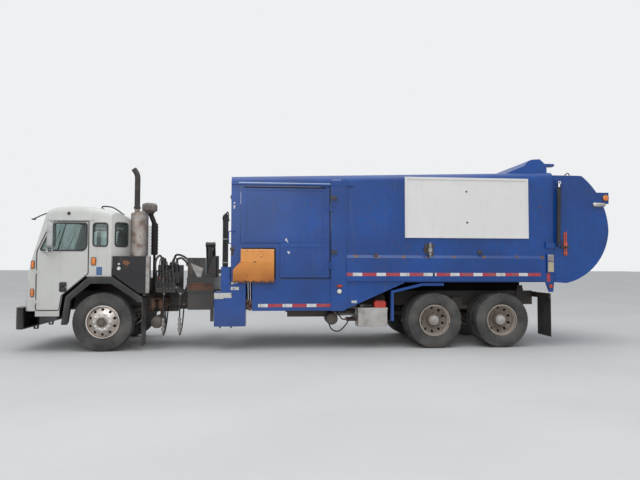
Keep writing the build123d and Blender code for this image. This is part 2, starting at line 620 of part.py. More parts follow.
def cab_inside():
    floor = CAB_REAR_BOTTOM + CAB_WALL
    seats = []
    for side in (-1, 1):
        y0, y1 = on_side(side, 500, 920)
        seat = block(-230, 200, *on_side(side, 560, 860), floor, 1490)
        seat += block(-330, 220, y0, y1, 1485, 1590)
        seat += slab([(110, 1560), (230, 1560), (270, 2200), (180, 2200)], y0, y1)
        seats.append(seat)
    save("seats", *seats)
    dash = slab([(-1290, 1200), (-1100, 1200), (-1000, 1500), (-1090, 1640), (-1215, 1660)],
                -CAB_HALF + CAB_WALL + CAB_CORNER, CAB_HALF - CAB_WALL - CAB_CORNER)
    top = TUNNEL_TOP + CAB_WALL
    dash -= block(-1400, -900, -TUNNEL_HALF - 60, TUNNEL_HALF + 60, 1100, top + 60)
    dash += block(-1220, -1130, -300, 300, top, top + 70)
    for side in (-1, 1):
        hub = (-930, side * 760, 1640)
        dash += rod((-1060, side * 760, 1440), hub, 25)
        wheel = Plane(origin=(at_x(hub[0]), hub[1], hub[2]), z_dir=(130, 0, 200))
        ring = wheel * Torus(225, 14)
        dash += ring
        dash += wheel * Box(440, 40, 14)
    save("dashboard", dash)


def steps_and_fenders():
    steps = []
    for side in (-1, 1):
        step = block(-1160, -745, *on_side(side, CAB_HALF - 220, CAB_HALF - 2), 640, CAB_BOTTOM)
        step -= block(-1140, -765, *on_side(side, CAB_HALF - 230, CAB_HALF - 20), 655, 720)
        steps.append(step)
    save("cab_steps", *steps)
    path = [(-690, 490), (-620, 990), (-230, 1340), (170, 1340), (690, 970), (690, 890)]
    edge = [(-678, 490), (-611, 982), (-226, 1328), (166, 1328), (680, 964), (680, 890)]
    fenders = []
    for side in (-1, 1):
        fender = slab(ribbon(path, 24), *on_side(side, KINGPIN_Y, FENDER_OUT))
        fenders.append(fender + slab(ribbon(edge, 44), *on_side(side, FENDER_OUT - 10, FENDER_OUT)))
    save("front_fenders", *fenders)
    path = [(5290, 520), (5290, 1080), (5880, 1222), (6300, 1222)]
    edge = [(5306, 520), (5306, 1068), (5884, 1206), (6300, 1206)]
    fenders = []
    for side in (-1, 1):
        fender = slab(ribbon(path, 16), *on_side(side, 640, FENDER_OUT))
        fender += slab(ribbon(edge, 48), *on_side(side, FENDER_OUT - 8, FENDER_OUT))
        fenders.append(fender + block(5282, 5298, *on_side(side, 600, 700), 950, 1070))
    save("rear_fenders", *fenders)
    flaps = []
    for side in (-1, 1):
        flaps.append(block(702, 714, *on_side(side, KINGPIN_Y, FENDER_OUT), 100, 950))
        flaps.append(block(REAR_BAR, REAR_BAR + 12, *on_side(side, 620, REAR_BAR_HALF), 190, 1030))
    save("mudflaps", *flaps)


# Equipment behind the cab
# exhaust: station and y of the muffler, its radius, lower and upper height
MUFFLER_S, MUFFLER_Y, MUFFLER_R, MUFFLER_LOW, MUFFLER_TOP = 595.0, -1000.0, 145.0, 1720.0, 2520.0
STACK_S, STACK_R, STACK_BEND_Z, STACK_BEND_R, STACK_BEND = 545.0, 38.0, 3170.0, 220.0, 35.0


def exhaust():
    """Muffler with two bands and a cone, and the stack with its bent end towards the front."""
    y, reach = MUFFLER_Y, math.radians(STACK_BEND)
    shape = upright(MUFFLER_S, y, MUFFLER_LOW, MUFFLER_TOP, MUFFLER_R)
    for z in (MUFFLER_LOW + 90, MUFFLER_TOP - 110):
        shape += upright(MUFFLER_S, y, z, z + 28, MUFFLER_R + 4)
    shape += spun([(0, MUFFLER_TOP - 5), (MUFFLER_R - 12, MUFFLER_TOP - 5), (STACK_R + 22, 2556),
                   (0, 2556)], MUFFLER_S, y)
    shape += upright(STACK_S, y, 2500, STACK_BEND_Z, STACK_R)
    shape += upright(STACK_S, y, 2500, 2610, STACK_R + 8)
    pivot = STACK_S - STACK_BEND_R
    x, centre = at_x(STACK_S), Axis((at_x(pivot), y, STACK_BEND_Z), (0, -1, 0))
    ring = Face(Wire.make_circle(STACK_R, Plane(origin=(x, y, STACK_BEND_Z), z_dir=(0, 0, 1))))
    shape += Solid.revolve(ring, STACK_BEND, centre)
    end = (pivot + STACK_BEND_R * math.cos(reach), y, STACK_BEND_Z + STACK_BEND_R * math.sin(reach))
    shape += rod(end, (end[0] - 50 * math.sin(reach), y, end[2] + 50 * math.cos(reach)), STACK_R)
    return shape


def equipment():
    out = -CAB_HALF - 10
    box = slab([(165, 1374), (205, 1364), (640, 1050), (760, 1050), (760, 1720), (165, 1720)],
               out, -760)
    line = CAB_HALF + MOVING_GAP * 2
    box -= plan([(0, 0), (CAB_REAR + 20, 0), (CAB_REAR + 20, -(line - CORNER_CUT)),
                 (CAB_REAR - CORNER_CUT + 12, -line), (0, -line)], 1000, 1800)
    save("battery_box", box)

    save("exhaust", exhaust())

    cleaner = upright(810, -700, 1750, 2350, 60)
    for z in range(1790, 2330, 60):
        cleaner += upright(810, -700, z, z + 22, 68)
    cleaner += upright(810, -700, RAIL_TOP, 1760, 25)
    cleaner += block(760, 860, -750, -429, RAIL_TOP, RAIL_TOP + 20)
    cleaner += rod((810, -700, 2330), (710, -700, 2580), 45)
    cleaner += spun([(0, 2540), (85, 2540), (92, 2572), (138, 2590), (142, 2612), (142, 2690),
                     (128, 2722), (88, 2738), (0, 2742)], 710, -700)
    save("air_cleaner", cleaner)

    tank = block(880, 1280, -690, -120, RAIL_TOP, 1560)
    tank += spun([(0, 1550), (52, 1550), (52, 1660), (40, 1690), (24, 1700), (0, 1700)], 960, -560)
    tank += spun([(0, 1550), (70, 1550), (70, 1600), (60, 1612), (0, 1640)], 1120, -420)
    # bank of valves beside the tank: body, spool caps, and the return filter
    tank += block(905, 1255, -960, -689, RAIL_TOP, 1230)
    for s in range(940, 1250, 56):
        tank += spun([(0, 1225), (20, 1225), (20, 1300), (13, 1318), (0, 1322)], s, -900)
        tank += upright(s, -800, 1225, 1262, 16)
    tank += block(1180, 1300, -830, -689, 1225, 1420)
    tank += spun([(0, 1415), (46, 1415), (46, 1560), (30, 1590), (0, 1596)], 1240, -760)
    save("hydraulic_tank", tank)

    step_box = slab([(1990, 440), (2560, 440), (2560, 1070), (2270, 1070), (2270, 1530),
                     (2110, 1530), (2110, 1070), (1990, 1070)], -BODY_HALF - 20, -770)
    save("step_box", step_box)

    side_box = block(4660, 5210, -BODY_HALF + 10, -800, 410, 770)
    save("side_box", side_box + block(4652, 5218, -BODY_HALF + 2, -800, 738, 770))

    tank = rod((4450, 860, 690), (5250, 860, 690), 250)
    for s in (4600, 5040):
        tank += block(s, s + 60, 560, 700, 790, 850)
        tank += rod((s, 860, 690), (s + 60, 860, 690), 256)
    tank += rod((4850, 950, 880), (4850, 1000, 980), 55)
    save("fuel_tank", tank)
    straps = []
    for side in (-1, 1):
        tube = rod((3350, side * 545, 660), (4150, side * 545, 660), 110)
        for s in (3450, 4050):
            tube += block(s, s + 40, *on_side(side, RAIL_OUT, 560), 700, 860)
        straps.append(tube)
    save("air_tanks", *straps)


# Body
def body_section(station, half, low, top, radius):
    x = at_x(station)
    a = radius * (1 - math.sqrt(0.5))
    left = Vector(x, -half, low), Vector(x, -half, top - radius)
    right = Vector(x, half, low), Vector(x, half, top - radius)
    roof = Vector(x, radius - half, top), Vector(x, half - radius, top)
    edges = [Edge.make_line(*left),
             Edge.make_three_point_arc(left[1], Vector(x, a - half, top - a), roof[0]),
             Edge.make_line(*roof),
             Edge.make_three_point_arc(roof[1], Vector(x, half - a, top - a), right[1]),
             Edge.make_line(right[1], right[0]), Edge.make_line(right[0], left[0])]
    return Wire(edges)


def roof_at(station):
    share = (station - BODY_FRONT) / (BODY_REAR - BODY_FRONT)
    return ROOF_FRONT + share * (ROOF_REAR - ROOF_FRONT)


def body():
    w = BODY_WALL
    outer = Solid.make_loft([body_section(s, BODY_HALF, BODY_LOW, roof_at(s), BODY_ROUND)
                             for s in (BODY_FRONT, BODY_REAR)], True)
    inner = Solid.make_loft([body_section(s, BODY_HALF - w, BODY_LOW + w, roof_at(s) - w,
                                          BODY_ROUND - w) for s in (BODY_FRONT + w, BODY_REAR + 1)],
                            True)
    shell = outer - inner
    # loading mouth in the right wall and the roof
    m0, m1, sill = LOADING_MOUTH
    shell -= block(m0, m1, BODY_HALF - 100, BODY_HALF + 50, sill, 3600)
    shell -= block(m0, m1, MOUTH_ROOF_FROM, BODY_HALF + 50, MOUTH_ROOF_LOW, 3600)
    # the lifted arm and its gripper pass the upper front corner here
    shell -= block(BODY_FRONT - 10, m0 + 1, ARM_NOTCH[0], BODY_HALF + 50, ARM_NOTCH[1], 3600)
    # service door opening in the left wall
    shell -= slab(inset(HOPPER_DOOR, -MOVING_GAP), -BODY_HALF - 20, -BODY_HALF + w + 10)
    # hump with the tailgate hinge
    top = ROOF_REAR
    hump = [(7600, top - 60), (7600, top - 24), (7980, top + 130), (8060, top + 225),
            (8130, top + 258), (8300, top + 270), (8390, top + 190), (8440, top + 100),
            (8440, top - 20)]
    shell += slab(hump, 120 - BODY_HALF, BODY_HALF - 120)
    # ledge over the service door, and stiffeners on the front wall
    shell += block(BODY_FRONT, 4560, -BODY_HALF - 34, 1 - BODY_HALF, 3058, 3082)
    for y in (-600, 0, 600):
        shell += block(BODY_FRONT - 28, BODY_FRONT + 1, y - 30, y + 30, BODY_LOW + 60, 3000)
    # box with the gate's switches
    shell += block(8350, 8490, -BODY_HALF - 34, 1 - BODY_HALF, 1430, 1800)
    axis_s, axis_z = GATE_AXIS
    for side in (-1, 1):
        for y0, y1 in ((700, 730), (780, 810)):
            span = on_side(side, y0, y1)
            shell += slab([(8380, top + 20), (8380, top + 100), (axis_s, axis_z + GATE_EAR_R),
                           (axis_s + GATE_EAR_R, axis_z), (axis_s, axis_z - GATE_EAR_R)], *span)
        shell += across(axis_s, axis_z, *on_side(side, 700, 810), GATE_PIN_R)
        # belt rail, post, sill with hinge eye
        shell += wall([(side * (BODY_HALF - 1), BELT_LOW), (side * BELT_FACE, BELT_LOW),
                       (side * BELT_FACE, 1705), (side * (BODY_HALF - 1), 1760)], 4439, 8300)
        shell += block(8380, 8600, *on_side(side, BODY_HALF - 300, BODY_HALF - 140), top + 140,
                       top + 185)
        shell += block(4140, 4440, *on_side(side, BODY_HALF - 1, POST_FACE), BELT_LOW,
                       ROOF_FRONT - 115)
        y0, y1 = on_side(side, RAIL_OUT - RAIL_WIDE, RAIL_OUT)
        shell += block(2400, TILT_AXIS[0], y0, y1, RAIL_TOP + 20, BODY_LOW + 5)
        shell += block(2400, 7900, y0, y1, RAIL_TOP, RAIL_TOP + 25)
        shell += across(TILT_AXIS[0], TILT_AXIS[1], y0, y1, TILT_EYE_R)
        shell -= across(TILT_AXIS[0], TILT_AXIS[1], y0 - 5, y1 + 5, 25 + BEARING_GAP)
        # lugs of the hoist
        tip_s, tip_z = HOIST_TIP
        shell += slab([(tip_s - 60, BODY_LOW + 5), (tip_s - 45, tip_z - 40), (tip_s + 45, tip_z - 40),
                       (tip_s + 60, BODY_LOW + 5)], *on_side(side, 45, 65))
    for z in HATCH_HINGES:
        shell += strap_hinge(HATCH_AXIS, BODY_HALF, POST_FACE, z, -1, -1, HATCH_HINGE_R)[0]
    save("body_shell", shell)


def skirts():
    """Side skirts under the body with the lower ends of its two posts, and its rear brackets."""
    shapes = []
    for side in (-1, 1):
        skirt = slab([(2680, 720), (4365, 720), (5540, 1235), (5540, BODY_LOW), (2680, BODY_LOW)],
                     *on_side(side, SKIRT_IN, BODY_HALF))
        post = [(4140, 715), (4365, 715), (4440, 750), (4440, BELT_LOW), (4140, BELT_LOW)]
        skirt += slab(post, *on_side(side, BODY_HALF, POST_FACE))
        shapes.append(skirt)
        # bracket under the rear corner that carries the markers
        shapes.append(slab([(8330, BODY_LOW), (8400, 1060), (8480, 1060), (8499, BODY_LOW)],
                           *on_side(side, BODY_HALF - BODY_WALL, BODY_HALF)))
        # lug of the tailgate ram
        ram_s, ram_z = RAM_BASE
        lug_in, lug_out, below, above = RAM_LUG
        lug = block(8320, 8480, *on_side(side, BODY_HALF, lug_out), ram_z - 60, ram_z + 60)
        lug += block(8320, ram_s + 30, *on_side(side, lug_in, lug_out), ram_z - below, ram_z + above)
        lug += across(ram_s, ram_z, *on_side(side, lug_in, RAM_Y + 26), 14)
        shapes.append(lug)
    save("body_skirts", *shapes)


def body_fittings():
    s0, s1, z0, z1 = SIGN
    rim, wide = -BODY_HALF - SIGN_RIM, SIGN_RIM_WIDE
    sign = block(s0, s1, rim, -BODY_HALF, z0, z1)
    sign -= block(s0 + wide, s1 - wide, rim - 1, -BODY_HALF - SIGN_SHEET, z0 + wide, z1 - wide)
    save("sign_panel", sign)
    cover = slab([(2330, 1250), (3080, 1250), (3080, 1630), (2470, 1630), (2330, 1480)],
                 -BODY_HALF - 85, -BODY_HALF)
    cover += wall([(-BODY_HALF, 1629), (-BODY_HALF, 1860), (-BODY_HALF - 40, 1860),
                   (-BODY_HALF - 62, 1835), (-BODY_HALF - 85, 1629)], 2470, 3080)
    save("orange_cover", cover)
    door = slab(HOPPER_DOOR, -BODY_HALF, -BODY_HALF + BODY_WALL)
    for s0, s1, z0, z1 in DOOR_PANELS:
        door -= block(s0, s1, -BODY_HALF - 1, -BODY_HALF + PANEL_DEPTH, z0, z1)
    door += block(2520, 4080, -BODY_HALF - 12, -BODY_HALF + 5, 1995, 2030)
    for z in HATCH_HINGES:
        door += strap_hinge(HATCH_AXIS, BODY_HALF, POST_FACE, z, -1, -1, HATCH_HINGE_R)[1]
    save("hopper_door", door)
    half = BODY_HALF - BODY_WALL - 15
    floor = BODY_LOW + BODY_WALL + MOVING_GAP
    blade = slab([(2400, floor), (2900, floor), (2900, 1850), (2600, 2050), (2400, 2050)],
                 -half, half)
    blade -= slab([(2390, floor + 30), (2868, floor + 30), (2868, 1835), (2590, 2018), (2390, 2018)],
                  -half + 30, half - 30)
    for side in (-1, 1):
        blade += block(2400, 2900, *on_side(side, 900, 980), floor - MOVING_GAP + BEARING_GAP,
                       floor + 1)
    save("packer", blade)


# Tailgate and cylinders
def gate_wire(points, y):
    a, b, c, d, e, f, g, h = [Vector(at_x(s), y, z) for s, z in points]
    return Wire([Edge.make_line(a, b), Edge.make_three_point_arc(b, c, d),
                 Edge.make_three_point_arc(d, e, f), Edge.make_line(f, g), Edge.make_line(g, h),
                 Edge.make_line(h, a)])


def tailgate():
    top = 3335.0
    outline = [(9000, top), (9090, top - 5), (9480, 2860), (9630, 2250), (9430, 1680),
               (8750, 1232), (GATE_FRONT, 1250), (GATE_FRONT, top)]
    w, half = GATE_WALL, BODY_HALF
    inside = [(8990, top - w), (9070, top - w - 5), (9480 - 0.86 * w, 2860 - w / 2),
              (9630 - w, 2250), (9430 - 0.84 * w, 1680 + 0.64 * w), (8740, 1232 + w),
              (GATE_FRONT - 10, 1250 + w), (GATE_FRONT - 10, top - w)]
    shape = Solid.extrude(Face(gate_wire(outline, -half)), Vector(0, 2 * half, 0))
    shape -= Solid.extrude(Face(gate_wire(inside, w - half)), Vector(0, 2 * (half - w), 0))
    rib = [(9000, top - 30), (9100, top - 3), (9498, 2870), (9650, 2250), (9448, 1668),
           (8800, 1240), (8700, 1262), (8700, top - 30)]
    for y in GATE_RIBS:
        band = Solid.extrude(Face(gate_wire(rib, y - GATE_RIB_HALF)), Vector(0, 2 * GATE_RIB_HALF, 0))
        band -= Solid.extrude(Face(gate_wire(inside, y - 40)), Vector(0, 80, 0))
        shape += band
    axis_s, axis_z = GATE_AXIS
    for side in (-1, 1):
        span = on_side(side, 736, 774)
        arm = slab([(axis_s, axis_z + GATE_EAR_R), (8900, top - 10), (8600, top - 10),
                    (axis_s + 5, axis_z - GATE_EAR_R)], *span)
        arm += across(axis_s, axis_z, *span, GATE_EAR_R)
        arm -= across(axis_s, axis_z, span[0] - 5, span[1] + 5, GATE_PIN_R + BEARING_GAP)
        shape += arm
        tip_s, tip_z = RAM_TIP
        shape += slab([(tip_s - 45, tip_z - 45), (tip_s + 90, tip_z - 45), (tip_s + 90, tip_z + 60),
                       (tip_s - 45, tip_z + 60)], *on_side(side, BODY_HALF - 1, RAM_Y - 32))
        shape += slab([(9380, 2790), (9650, 2790), (9650, 3010), (9380, 3010)],
                      *on_side(side, BODY_HALF - 160, BODY_HALF - 10))
    save("tailgate", shape)


def cylinder(base, tip, y, radius, rod_r, eye_half, pin_r, base_pin):
    """Barrel from its base eye and the rod inside it up to its own eye."""
    length = math.hypot(tip[0] - base[0], tip[1] - base[1])
    along = ((tip[0] - base[0]) / length, (tip[1] - base[1]) / length)

    def on_line(distance):
        return (base[0] + along[0] * distance, y, base[1] + along[1] * distance)

    eye = radius * 0.85
    shape = rod(on_line(radius * 1.15), on_line(length - 1.3 * radius - 40), radius)
    shape += across(base[0], base[1], y - eye_half, y + eye_half, eye)
    shape += rod(on_line(eye * 0.7), on_line(radius * 1.2), eye_half)
    shape -= across(base[0], base[1], y - 2 * radius, y + 2 * radius, base_pin + BEARING_GAP)
    shape -= rod(on_line(radius * 1.2 + 60), on_line(length), rod_r + BEARING_GAP)
    piston = rod(on_line(radius * 1.2 + 80), on_line(length - eye * 0.5), rod_r)
    piston += across(tip[0], tip[1], y - eye_half, y + eye_half, eye)
    piston -= across(tip[0], tip[1], y - 2 * radius, y + 2 * radius, pin_r)
    return shape, piston


def cylinders():
    barrel, piston = cylinder(HOIST_BASE, HOIST_TIP, 0, HOIST_R, HOIST_ROD_R, 36, 25, 25)
    save("hoist_barrel", barrel)
    save("hoist_rod", piston)
    pairs = [cylinder(RAM_BASE, RAM_TIP, side * RAM_Y, RAM_R, RAM_ROD_R, 22, 14, 14)
             for side in (-1, 1)]
    save("gate_ram_barrels", *[p[0] for p in pairs])
    save("gate_ram_rods", *[p[1] for p in pairs])


# Loading arm
def loading_arm():
    s0, s1 = BOOM_S
    tube = block(s0, s1, BOOM_LEFT, BOOM_RIGHT, BOOM_LOW, BOOM_TOP)
    tube -= block(s0 + BOOM_WALL, s1 - BOOM_WALL, BOOM_LEFT + BOOM_WALL, BOOM_RIGHT + 5,
                  BOOM_LOW + BOOM_WALL, BOOM_TOP - BOOM_WALL)
    tube += block(s0, s0 + 320, -800, -460, BOOM_TOP - 5, 1700)
    tube += slab([(s0 + 330, BOOM_TOP - 5), (s0 + 520, BOOM_TOP - 5), (s0 + 520, 1720),
                  (s0 + 470, 1720)], -700, -660)
    tube += block(s0 + 470, s1 + 60, -620, -460, BOOM_TOP - 5, 1740)
    tube += block(s0 + 20, s1 - 60, -880, -450, 720, BOOM_LOW + 5)
    tube += block(s1 - 61, s1, -880, -820, 500, BOOM_LOW + 5)
    # mast that guides the hoses up to the body
    tube += block(s1 + 50, HOSE_MAST[0] + 5, -640, -600, 1400, 1480)
    tube += block(*HOSE_MAST, 880, 2510)
    save("arm_base", tube)

    gap = MOVING_GAP
    beam = block(s0 + BOOM_WALL + gap, s1 - BOOM_WALL - gap, BOOM_LEFT + BOOM_WALL + 20,
                 BOOM_RIGHT + 25, BOOM_LOW + BOOM_WALL + gap, BOOM_TOP - BOOM_WALL - gap)
    for a in (s0 + 60, s1 - 120):
        beam += block(a, a + 60, BOOM_LEFT + BOOM_WALL + 20, BOOM_RIGHT + 25,
                      BOOM_LOW + BOOM_WALL + BEARING_GAP, BOOM_LOW + BOOM_WALL + gap + 1)
    core = 30
    beam -= block(s0 + BOOM_WALL + gap + core, s1 - BOOM_WALL - gap - core, BOOM_LEFT,
                  BOOM_RIGHT - 100, BOOM_LOW + BOOM_WALL + gap + core,
                  BOOM_TOP - BOOM_WALL - gap - core)
    arm_y, arm_z = ARM_AXIS
    mid = (ARM_S[0] + ARM_S[1]) / 2
    beam += block(ARM_S[0] - 40, ARM_S[1] + 40, BOOM_RIGHT + 20, BOOM_RIGHT + 105, 1085, 1600)
    beam += block(mid - 50, mid + 50, BOOM_RIGHT + 20, BOOM_RIGHT + 105, 1590, arm_z)
    beam += rod((mid - 50, arm_y, arm_z), (mid + 50, arm_y, arm_z), 60)
    beam += rod((ARM_S[0] - 10, arm_y, arm_z), (ARM_S[1] + 10, arm_y, arm_z), ARM_PIN_R)
    save("arm_carriage", beam)

    arm = wall([(ARM_IN, 930), (ARM_OUT, 930), (ARM_OUT, 1860), (ARM_OUT - 50, 1900),
                (ARM_IN, 1860)], *ARM_S)
    for a, b in ((ARM_S[0], mid - 50 - gap), (mid + 50 + gap, ARM_S[1])):
        arm += wall([(ARM_IN + 2, 1650), (ARM_OUT - 30, 1750), (ARM_OUT - 30, 1880),
                     (arm_y + 40, arm_z + 60),
                     (arm_y - 55, arm_z + 40), (arm_y - 50, arm_z - 50), (arm_y, arm_z - 66)], a, b)
        arm += rod((a, arm_y, arm_z), (b, arm_y, arm_z), 65)
    arm -= rod((ARM_S[0] - 20, arm_y, arm_z), (ARM_S[1] + 20, arm_y, arm_z),
               ARM_PIN_R + BEARING_GAP)
    # kick outwards and bar towards the rear
    bar_in, bar_out = GRIP_BAR
    arm += block(*ARM_S, ARM_IN, bar_out, GRIP_LOW, GRIP_LOW + 100)
    arm += block(ARM_S[0], GRIP_S[1] + 100, bar_in, bar_out, GRIP_LOW, GRIP_LOW + 100)
    for s in GRIP_S:
        arm += block(s - 45, s + 45, bar_in, bar_out + 2, GRIP_LOW - 30, GRIP_TOP + 30)
        for z0, z1 in ((GRIP_LOW - 30, GRIP_LOW - 8), (GRIP_TOP + 8, GRIP_TOP + 30)):
            arm += block(s - 40, s + 40, bar_out - 5, GRIP_Y, z0, z1)
            arm += upright(s, GRIP_Y, z0, z1, 40)
        arm += upright(s, GRIP_Y, GRIP_LOW - 30, GRIP_TOP + 30, GRIP_PIN_R)
    save("lift_arm", arm)

    # fingers: bent bands, open and folded along the side of the truck
    for index, (s, way, name) in enumerate(((GRIP_S[0], -1, "front"), (GRIP_S[1], 1, "rear"))):
        path = [(s, GRIP_Y), (s + way * 260, GRIP_Y - 10), (s + way * 480, GRIP_Y + 20),
                (s + way * 640, GRIP_Y + 100)]
        finger = plan(ribbon(path, 36), GRIP_LOW, GRIP_TOP)
        finger += upright(s, GRIP_Y, GRIP_LOW, GRIP_TOP, 36)
        finger -= upright(s, GRIP_Y, GRIP_LOW - 5, GRIP_TOP + 5, GRIP_PIN_R + BEARING_GAP)
        save(f"finger_{name}", finger)


frame()
crossmembers()
front_axle()
springs()
drive_axles()
drivetrain()
bumper()
for side_sign, side_name in ((-1, "left"), (1, "right")):
    front_wheel(side_sign, side_name)
    knuckle(side_sign, side_name)
    for number, axle in enumerate(REAR_AXLES, 1):
        rear_wheels(axle, side_sign, f"{side_name}_{number}")
cab()
mirrors()
cab_inside()
steps_and_fenders()
equipment()
body()
skirts()
body_fittings()
tailgate()
cylinders()
loading_arm()
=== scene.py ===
# %% [markdown]
# # A side-loading refuse truck
# The truck's frame, panels and wheels come from its CAD model at their real size. This lesson gives them
# their finishes, and adds what is too small or too intricate for solids: tyre tread, lamps, nuts, hoses,
# seals, stripes and seat cushions. Everything is in metres. The front of the truck points to -X, the
# photographer stood on its left, at -Y, and the ground is Z = 0.
# %% Load the truck
import json
import math

import bmesh
import bpy
import numpy as np
from mathutils import Matrix, Vector


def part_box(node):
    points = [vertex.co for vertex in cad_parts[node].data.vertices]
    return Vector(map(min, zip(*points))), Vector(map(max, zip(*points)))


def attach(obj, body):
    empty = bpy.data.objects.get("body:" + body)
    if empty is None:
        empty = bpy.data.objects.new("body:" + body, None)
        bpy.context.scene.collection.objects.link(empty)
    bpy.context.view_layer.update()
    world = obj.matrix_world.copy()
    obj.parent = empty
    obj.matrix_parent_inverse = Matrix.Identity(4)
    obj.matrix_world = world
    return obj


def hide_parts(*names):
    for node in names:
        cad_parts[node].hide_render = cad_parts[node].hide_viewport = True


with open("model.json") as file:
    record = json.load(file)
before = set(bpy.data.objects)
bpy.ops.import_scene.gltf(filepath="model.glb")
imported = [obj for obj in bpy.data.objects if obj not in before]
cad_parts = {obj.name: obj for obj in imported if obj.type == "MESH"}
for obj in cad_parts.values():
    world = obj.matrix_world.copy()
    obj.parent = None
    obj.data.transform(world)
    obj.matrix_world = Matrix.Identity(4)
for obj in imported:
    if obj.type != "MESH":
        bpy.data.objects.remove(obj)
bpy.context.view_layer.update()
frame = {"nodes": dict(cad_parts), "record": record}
nodes = frame["nodes"]


# %% [markdown]
# ## Places on the truck
# A vehicle body builder measures along a truck from its front axle. The same habit keeps this script
# readable: `at(1.42)` is the X of a point 1.42 m behind that axle.
# %% Stations
low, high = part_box("front_tyre_left")
AXLE = (low.x + high.x) / 2
SIDE, CAB = 1.2, 1.18           # half the width of the refuse body, and of the cab


def at(station):
    """X of a place that many metres behind the front axle."""
    return AXLE + station


print("front axle at X =", round(AXLE, 3), "tyre radius", round((high.z - low.z) / 2, 3))

# %% [markdown]
# ## Camera
# The truck's side, its wheels and the horizon in the photograph give the camera: 10.45 m from the side,
# 1.6 m above the ground, 2.97 m behind the front axle, turned 5.3 degrees towards the rear and 2.4
# degrees up. A picture 640 wide with a focal length of 560 of its own pixels is a 31.5 mm lens.
# %% Camera
WIDE, FOCAL = 640, 560.0
DISTANCE, TURN, TILT, ROLL = 10.45, math.radians(5.28), math.radians(2.39), 0.003
forward = Vector((math.sin(TURN) * math.cos(TILT), math.cos(TURN) * math.cos(TILT), math.sin(TILT)))
level_right = Vector((math.cos(TURN), -math.sin(TURN), 0))
level_up = level_right.cross(forward)
right = level_right * math.cos(ROLL) + level_up * math.sin(ROLL)
up = level_up * math.cos(ROLL) - level_right * math.sin(ROLL)
lens = bpy.data.cameras.new("camera")
lens.sensor_width = 36.0
lens.lens = FOCAL / WIDE * lens.sensor_width
lens.clip_end = 400
camera = bpy.data.objects.new("camera", lens)
bpy.context.scene.collection.objects.link(camera)
bpy.context.scene.camera = camera
place = Vector((at(2.97), -1.22 - DISTANCE * math.cos(TURN), 1.6))
camera.matrix_world = Matrix((
    (right.x, up.x, -forward.x, place.x),
    (right.y, up.y, -forward.y, place.y),
    (right.z, up.z, -forward.z, place.z),
    (0, 0, 0, 1)))
print("lens", round(lens.lens, 2), "mm at", [round(v, 2) for v in place])

# %% [markdown]
# ## Light
# The truck stood under a bright overcast sky. That is a world which shines evenly from above, and one
# very large, weak lamp overhead that gives the faces a direction. A camera ray sees a plain pale
# backdrop instead of the world, and so do mirrors and glass.
# %% World and lamps
scene = bpy.context.scene
scene.view_settings.view_transform = "Standard"
world = bpy.data.worlds.new("overcast")
scene.world = world
world.use_nodes = True
sky = world.node_tree
sky.nodes.clear()
coords = sky.nodes.new("ShaderNodeTexCoord")
split = sky.nodes.new("ShaderNodeSeparateXYZ")
sky.links.new(coords.outputs["Generated"], split.inputs[0])
ramp = sky.nodes.new("ShaderNodeMapRange")
ramp.inputs["From Min"].default_value, ramp.inputs["From Max"].default_value = -0.15, 0.6
ramp.inputs["To Min"].default_value, ramp.inputs["To Max"].default_value = 0.22, 0.8
sky.links.new(split.outputs["Z"], ramp.inputs["Value"])
rays = sky.nodes.new("ShaderNodeLightPath")
seen = rays.outputs["Is Camera Ray"]
for kind in ("Is Glossy Ray", "Is Transmission Ray"):
    either = sky.nodes.new("ShaderNodeMath")
    either.operation = "MAXIMUM"
    sky.links.new(seen, either.inputs[0])
    sky.links.new(rays.outputs[kind], either.inputs[1])
    seen = either.outputs[0]
ambient = sky.nodes.new("ShaderNodeBackground")
ambient.inputs["Color"].default_value = (0.93, 0.96, 1.0, 1)
sky.links.new(ramp.outputs[0], ambient.inputs["Strength"])
backdrop = sky.nodes.new("ShaderNodeBackground")
backdrop.inputs["Color"].default_value = (0.86, 0.87, 0.88, 1)
choose = sky.nodes.new("ShaderNodeMixShader")
sky.links.new(seen, choose.inputs[0])
sky.links.new(ambient.outputs[0], choose.inputs[1])
sky.links.new(backdrop.outputs[0], choose.inputs[2])
out = sky.nodes.new("ShaderNodeOutputWorld")
sky.links.new(choose.outputs[0], out.inputs[0])


def soft_lamp(name, place, target, size, watts):
    """A square area lamp that points from its place to its target."""
    data = bpy.data.lights.new(name, "AREA")
    data.size, data.energy = size, watts
    lamp = bpy.data.objects.new(name, data)
    scene.collection.objects.link(lamp)
    lamp.location = place
    lamp.rotation_euler = (Vector(target) - Vector(place)).to_track_quat("-Z", "Y").to_euler()
    return lamp


soft_lamp("overhead", (0, -4, 14), (0, 0, 1), 14, 900)
soft_lamp("left_fill", (-4, -16, 7), (0, 0, 1.5), 9, 420)

# %% [markdown]
# ## Writing materials in a few words
# A real finish is never one colour. Each material here starts from the paint or metal itself, and gets
# in layers what use has done to it: broad fading, rain streaks, dust thrown up by the wheels, chips.
# These small helpers add one node each, so that a recipe reads like a list of those layers.
# %% Node helpers
EDGE = 0.01                     # how soft the edge of a masked place is


